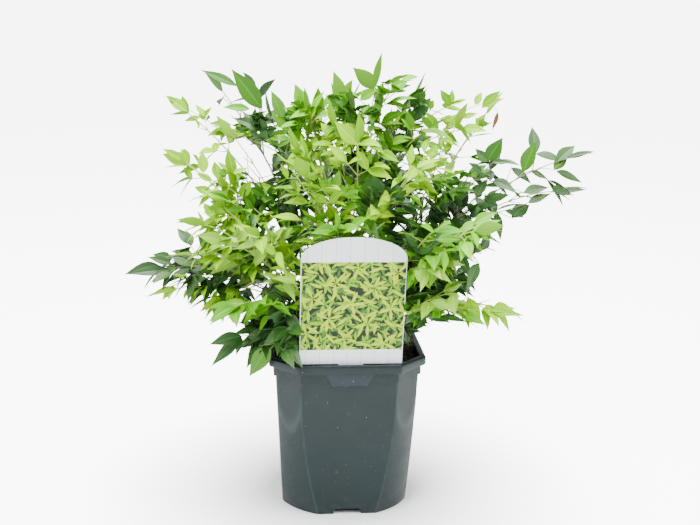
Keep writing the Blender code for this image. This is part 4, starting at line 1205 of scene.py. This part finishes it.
def leaf_shape():
    """A leaflet one metre long: pointed ends, folded along its midrib, closed and thin."""
    verts, along, side, faces, under = [], [], [], [], []

    def vert(t, s, lift=0.0):
        half = 0.5 * math.sin(math.pi * t ** LEAF_FULL) ** LEAF_POINT
        fold = LEAF_FOLD[0] * abs(s) - LEAF_FOLD[1] * abs(s) ** 2
        verts.append((t, s * half, fold * half + lift * math.sin(math.pi * t)))
        along.append(t)
        side.append(s)
        return len(verts) - 1

    upper = [[vert(0, 0)]]
    lower = [upper[0]]
    for t in LEAF_STATIONS:
        row = [vert(t, s) for s in (-1, -0.5, 0, 0.5, 1)]
        upper.append(row)
        lower.append([row[0], vert(t, 0, -LEAF_THICK), row[4]])
    upper.append([vert(1, 0)])
    lower.append(upper[-1])
    for rows, turned in ((upper, -1), (lower, 1)):
        for first, second in zip(rows, rows[1:]):
            for i in range(max(len(first), len(second)) - 1):
                low, high = first[i:i + 2] or first, second[i:i + 2] or second
                faces.append((low[:1] + high + low[1:])[::turned])
                under.append(rows is lower)
    mesh = bpy.data.meshes.new("leaflet")
    mesh.from_pydata(verts, [], faces)
    mesh.shade_smooth()
    note(mesh, "along", along)
    note(mesh, "side", side)
    note(mesh, "under", under, "BOOLEAN", "FACE")
    rims = {frozenset(edge) for a, b in zip(upper, upper[1:])
            for edge in ((a[0], b[0]), (a[-1], b[-1]), (a[len(a) // 2], b[len(b) // 2]))}
    note(mesh, "sharp_edge", [frozenset(e.vertices) in rims for e in mesh.edges], "BOOLEAN", "EDGE")
    return linked("leaflet", mesh)


def leaf_material(tint):
    """The upper face of one kind of leaflet: two near greens, a paler midrib, a soft gloss."""
    low, high, gloss, _ = TINTS[tint]
    g = Finish(f"{tint} leaflet", 0.45, Specular_IOR_Level=gloss)
    rib = g.times(g.remap(g.calc("ABSOLUTE", g.attribute("side")), 0.16, 0.0), 0.45)
    pale = tuple(min(1, 1.6 * c + 0.03) for c in high)
    g.set(Base_Color=g.mix(rib, g.mix(g.attribute("shade"), low, high), pale))
    return g.material


def underside_material(tint):
    base = TINTS[tint][3]
    g = Finish(f"{tint} underside", 0.65, Specular_IOR_Level=0.2)
    g.set(Base_Color=g.mix(g.attribute("shade"), tuple(0.75 * c for c in base), base))
    return g.material


def stalk_material(name, low, high):
    g = Finish(name, 0.5)
    g.set(Base_Color=g.mix(g.remap(g.grain(g.place(), 120, 3), 0.35, 0.65), low, high))
    return g.material


def points_object(name, leaves):
    """The leaflets' roots as points that carry their size, turn and tone."""
    mesh = bpy.data.meshes.new(name)
    mesh.from_pydata([tuple(leaf[0]) for leaf in leaves], [], [])
    rows = {"axis": [], "face": [], "size": [], "droop": [], "shade": []}
    for _, axis, normal, length, wide, sag, shade in leaves:
        level = math.sqrt(max(0, 1 - axis.z ** 2))
        rows["axis"] += tuple(axis)
        rows["face"] += tuple(normal)
        rows["size"] += (length, length * wide, length * wide)
        rows["droop"].append(length * level * (LEAF_SAG[0] + LEAF_SAG[1] * sag))
        rows["shade"].append(shade)
    for key, values in rows.items():
        note(mesh, key, values, "FLOAT" if key in ("droop", "shade") else "FLOAT_VECTOR")
    return linked(name, mesh)


def lines_object(name, lines):
    """Stalks as lines of points that carry their thickness."""
    verts, edges, thick = [], [], []
    for points, radii in lines:
        first = len(verts)
        verts += [tuple(p) for p in points]
        thick += radii
        edges += [(first + i, first + i + 1) for i in range(len(points) - 1)]
    mesh = bpy.data.meshes.new(name)
    mesh.from_pydata(verts, edges, [])
    note(mesh, "thick", thick)
    return linked(name, mesh)


def has_room(leaf):
    """Whether a leaflet's sides, tip and belly lie where a leaflet may be."""
    root, axis, normal, length, wide = leaf[:5]
    side = axis.cross(normal) * (wide * length / 2)
    belly = root + axis * (BELLY * length)
    tip = root + axis * length
    if any(map(blocked, (belly + side, belly - side, tip, belly))):
        return False
    return not kept_clear(tip) and not kept_clear(belly)


def make_crown(canes):
    leaves = {tint: [] for tint in TINTS}
    owners = {tint: set() for tint in TINTS}
    lines = {"olive": [], "lime": []}
    for name, cane, share, table in SPRAYS:
        for frond in spray_fronds(name, stem_start(canes[cane], share, table[0][0]), table):
            owners[frond.tint].add(f"foliage_{name}")
            lines["olive" if frond.tint in ("dark", "mid") else "lime"] += frond.lines
            found = list(filter(has_room, frond.leaves))
            if frond.tint == "young":
                leaves["young"] += [(*leaf[:3], leaf[3] * YOUNG_SIZE, *leaf[4:]) for leaf in found[:3]]
                leaves["lime"] += found[3:]
            else:
                leaves[frond.tint] += found
    for name, depth, stalk, leaflets in EDGE_TWIGS:
        line, shown = edge_twig(depth, stalk, leaflets)
        radii = taper(TWIG_RADIUS, TWIG_TIP, len(line) - 1)
        lines["lime" if "lime" in name else "olive"].append((line, radii))
        for tint, leaf in shown:
            leaves[tint].append(leaf)
            owners[tint].add(f"foliage_{name}")
    start, root = behind_picture(*THREAD_START), behind_picture(*DRY_LEAFLET)
    lines["olive"].append((straight(start, root), [THREAD_RADIUS] * (TWIG_STEPS + 1)))
    leaves["dry"].append((root, Vector(DRY_AXIS).normalized(), Vector(DRY_FACE), DRY_LENGTH, LEAF_WIDE,
                          1.0, 0.5))
    shape = leaf_shape()
    graph = leaflet_graph()
    for tint, found in leaves.items():
        obj = graph.grow(points_object(f"leaves_{tint}", found), Leaflet=shape, Droop=1.0,
                         Upperside=leaf_material(tint), Underside=underside_material(tint))
        settle(obj, LEAF_SLOTS.get(tint, f"leaf_{tint}"), *sorted(owners[tint]))
    bpy.data.objects.remove(shape)
    graph = stalk_graph()
    everything = [f"foliage_{row[0]}" for row in SPRAYS]
    for name, slot, low, high in STALKS:
        obj = graph.grow(lines_object(f"stalks_{name}", lines[name]), Sides=6, Thickness=1.0,
                         Bark=stalk_material(f"{name} stalk", low, high))
        settle(obj, slot, *everything)


# Studio

def area_light(name, at, size, power):
    """A square light that faces the plant."""
    data = bpy.data.lights.new(name, "AREA")
    data.shape = "SQUARE"
    data.size = size
    data.energy = power
    obj = linked(name, data)
    obj.location = at
    obj.rotation_euler = (Vector(AIM) - Vector(at)).to_track_quat("-Z", "Y").to_euler()


def make_studio():
    """A floor and sky that look overlit to the camera alone, and the lights."""
    corners = [(-FLOOR, -FLOOR, 0), (FLOOR, -FLOOR, 0), (FLOOR, FLOOR, 0), (-FLOOR, FLOOR, 0)]
    floor = piece("floor", corners, [(0, 1, 2, 3)])
    g = Finish("studio floor", 0.7, Base_Color=(0.86, 0.88, 0.87, 1), Emission_Color=(0.98, 1.0, 0.97, 1))
    # the glow stays off near the pot: a painted shadow round its foot
    glow = g.remap(g.vector("LENGTH", g.place())[1], *PAINTED_SHADOW_FADE, 0.0, FLOOR_GLOW)
    g.set(Emission_Strength=g.times(g.add("LightPath")["Is Camera Ray"], glow))
    floor.data.materials.append(g.material)
    world = bpy.data.worlds.new("studio")
    world.use_nodes = True
    g = Graph(world.node_tree, "ShaderNode")
    strength = g.calc("MULTIPLY_ADD", g.add("LightPath")["Is Camera Ray"], SKY_GLOW, AMBIENT)
    g.fill(world.node_tree.nodes["Background"].inputs, {0: (0.97, 1.0, 0.99, 1), 1: strength})
    bpy.context.scene.world = world
    for light in LIGHTS:
        area_light(*light)


def camera_axes():
    """The photograph's camera, turned, tipped and rolled as it was: its right, up and ahead."""
    level = math.cos(PITCH)
    ahead = Vector((math.sin(HEADING) * level, math.cos(HEADING) * level, -math.sin(PITCH)))
    right = Vector((math.cos(HEADING), -math.sin(HEADING), 0))
    up = right.cross(ahead)
    return right * math.cos(ROLL) + up * math.sin(ROLL), up * math.cos(ROLL) - right * math.sin(ROLL), ahead


def make_camera():
    data = bpy.data.cameras.new("photograph")
    data.sensor_width = SENSOR
    data.lens = FOCAL_PIXELS / IMAGE_WIDE * SENSOR
    camera = linked("photograph", data)
    right, up, ahead = camera_axes()
    turn = Matrix((right, up, -ahead)).transposed()
    camera.matrix_world = Matrix.Translation(EYE) @ turn.to_4x4()
    bpy.context.scene.camera = camera


make_camera()
make_studio()
make_pot()
make_compost()
make_label()
make_crown(make_canes())
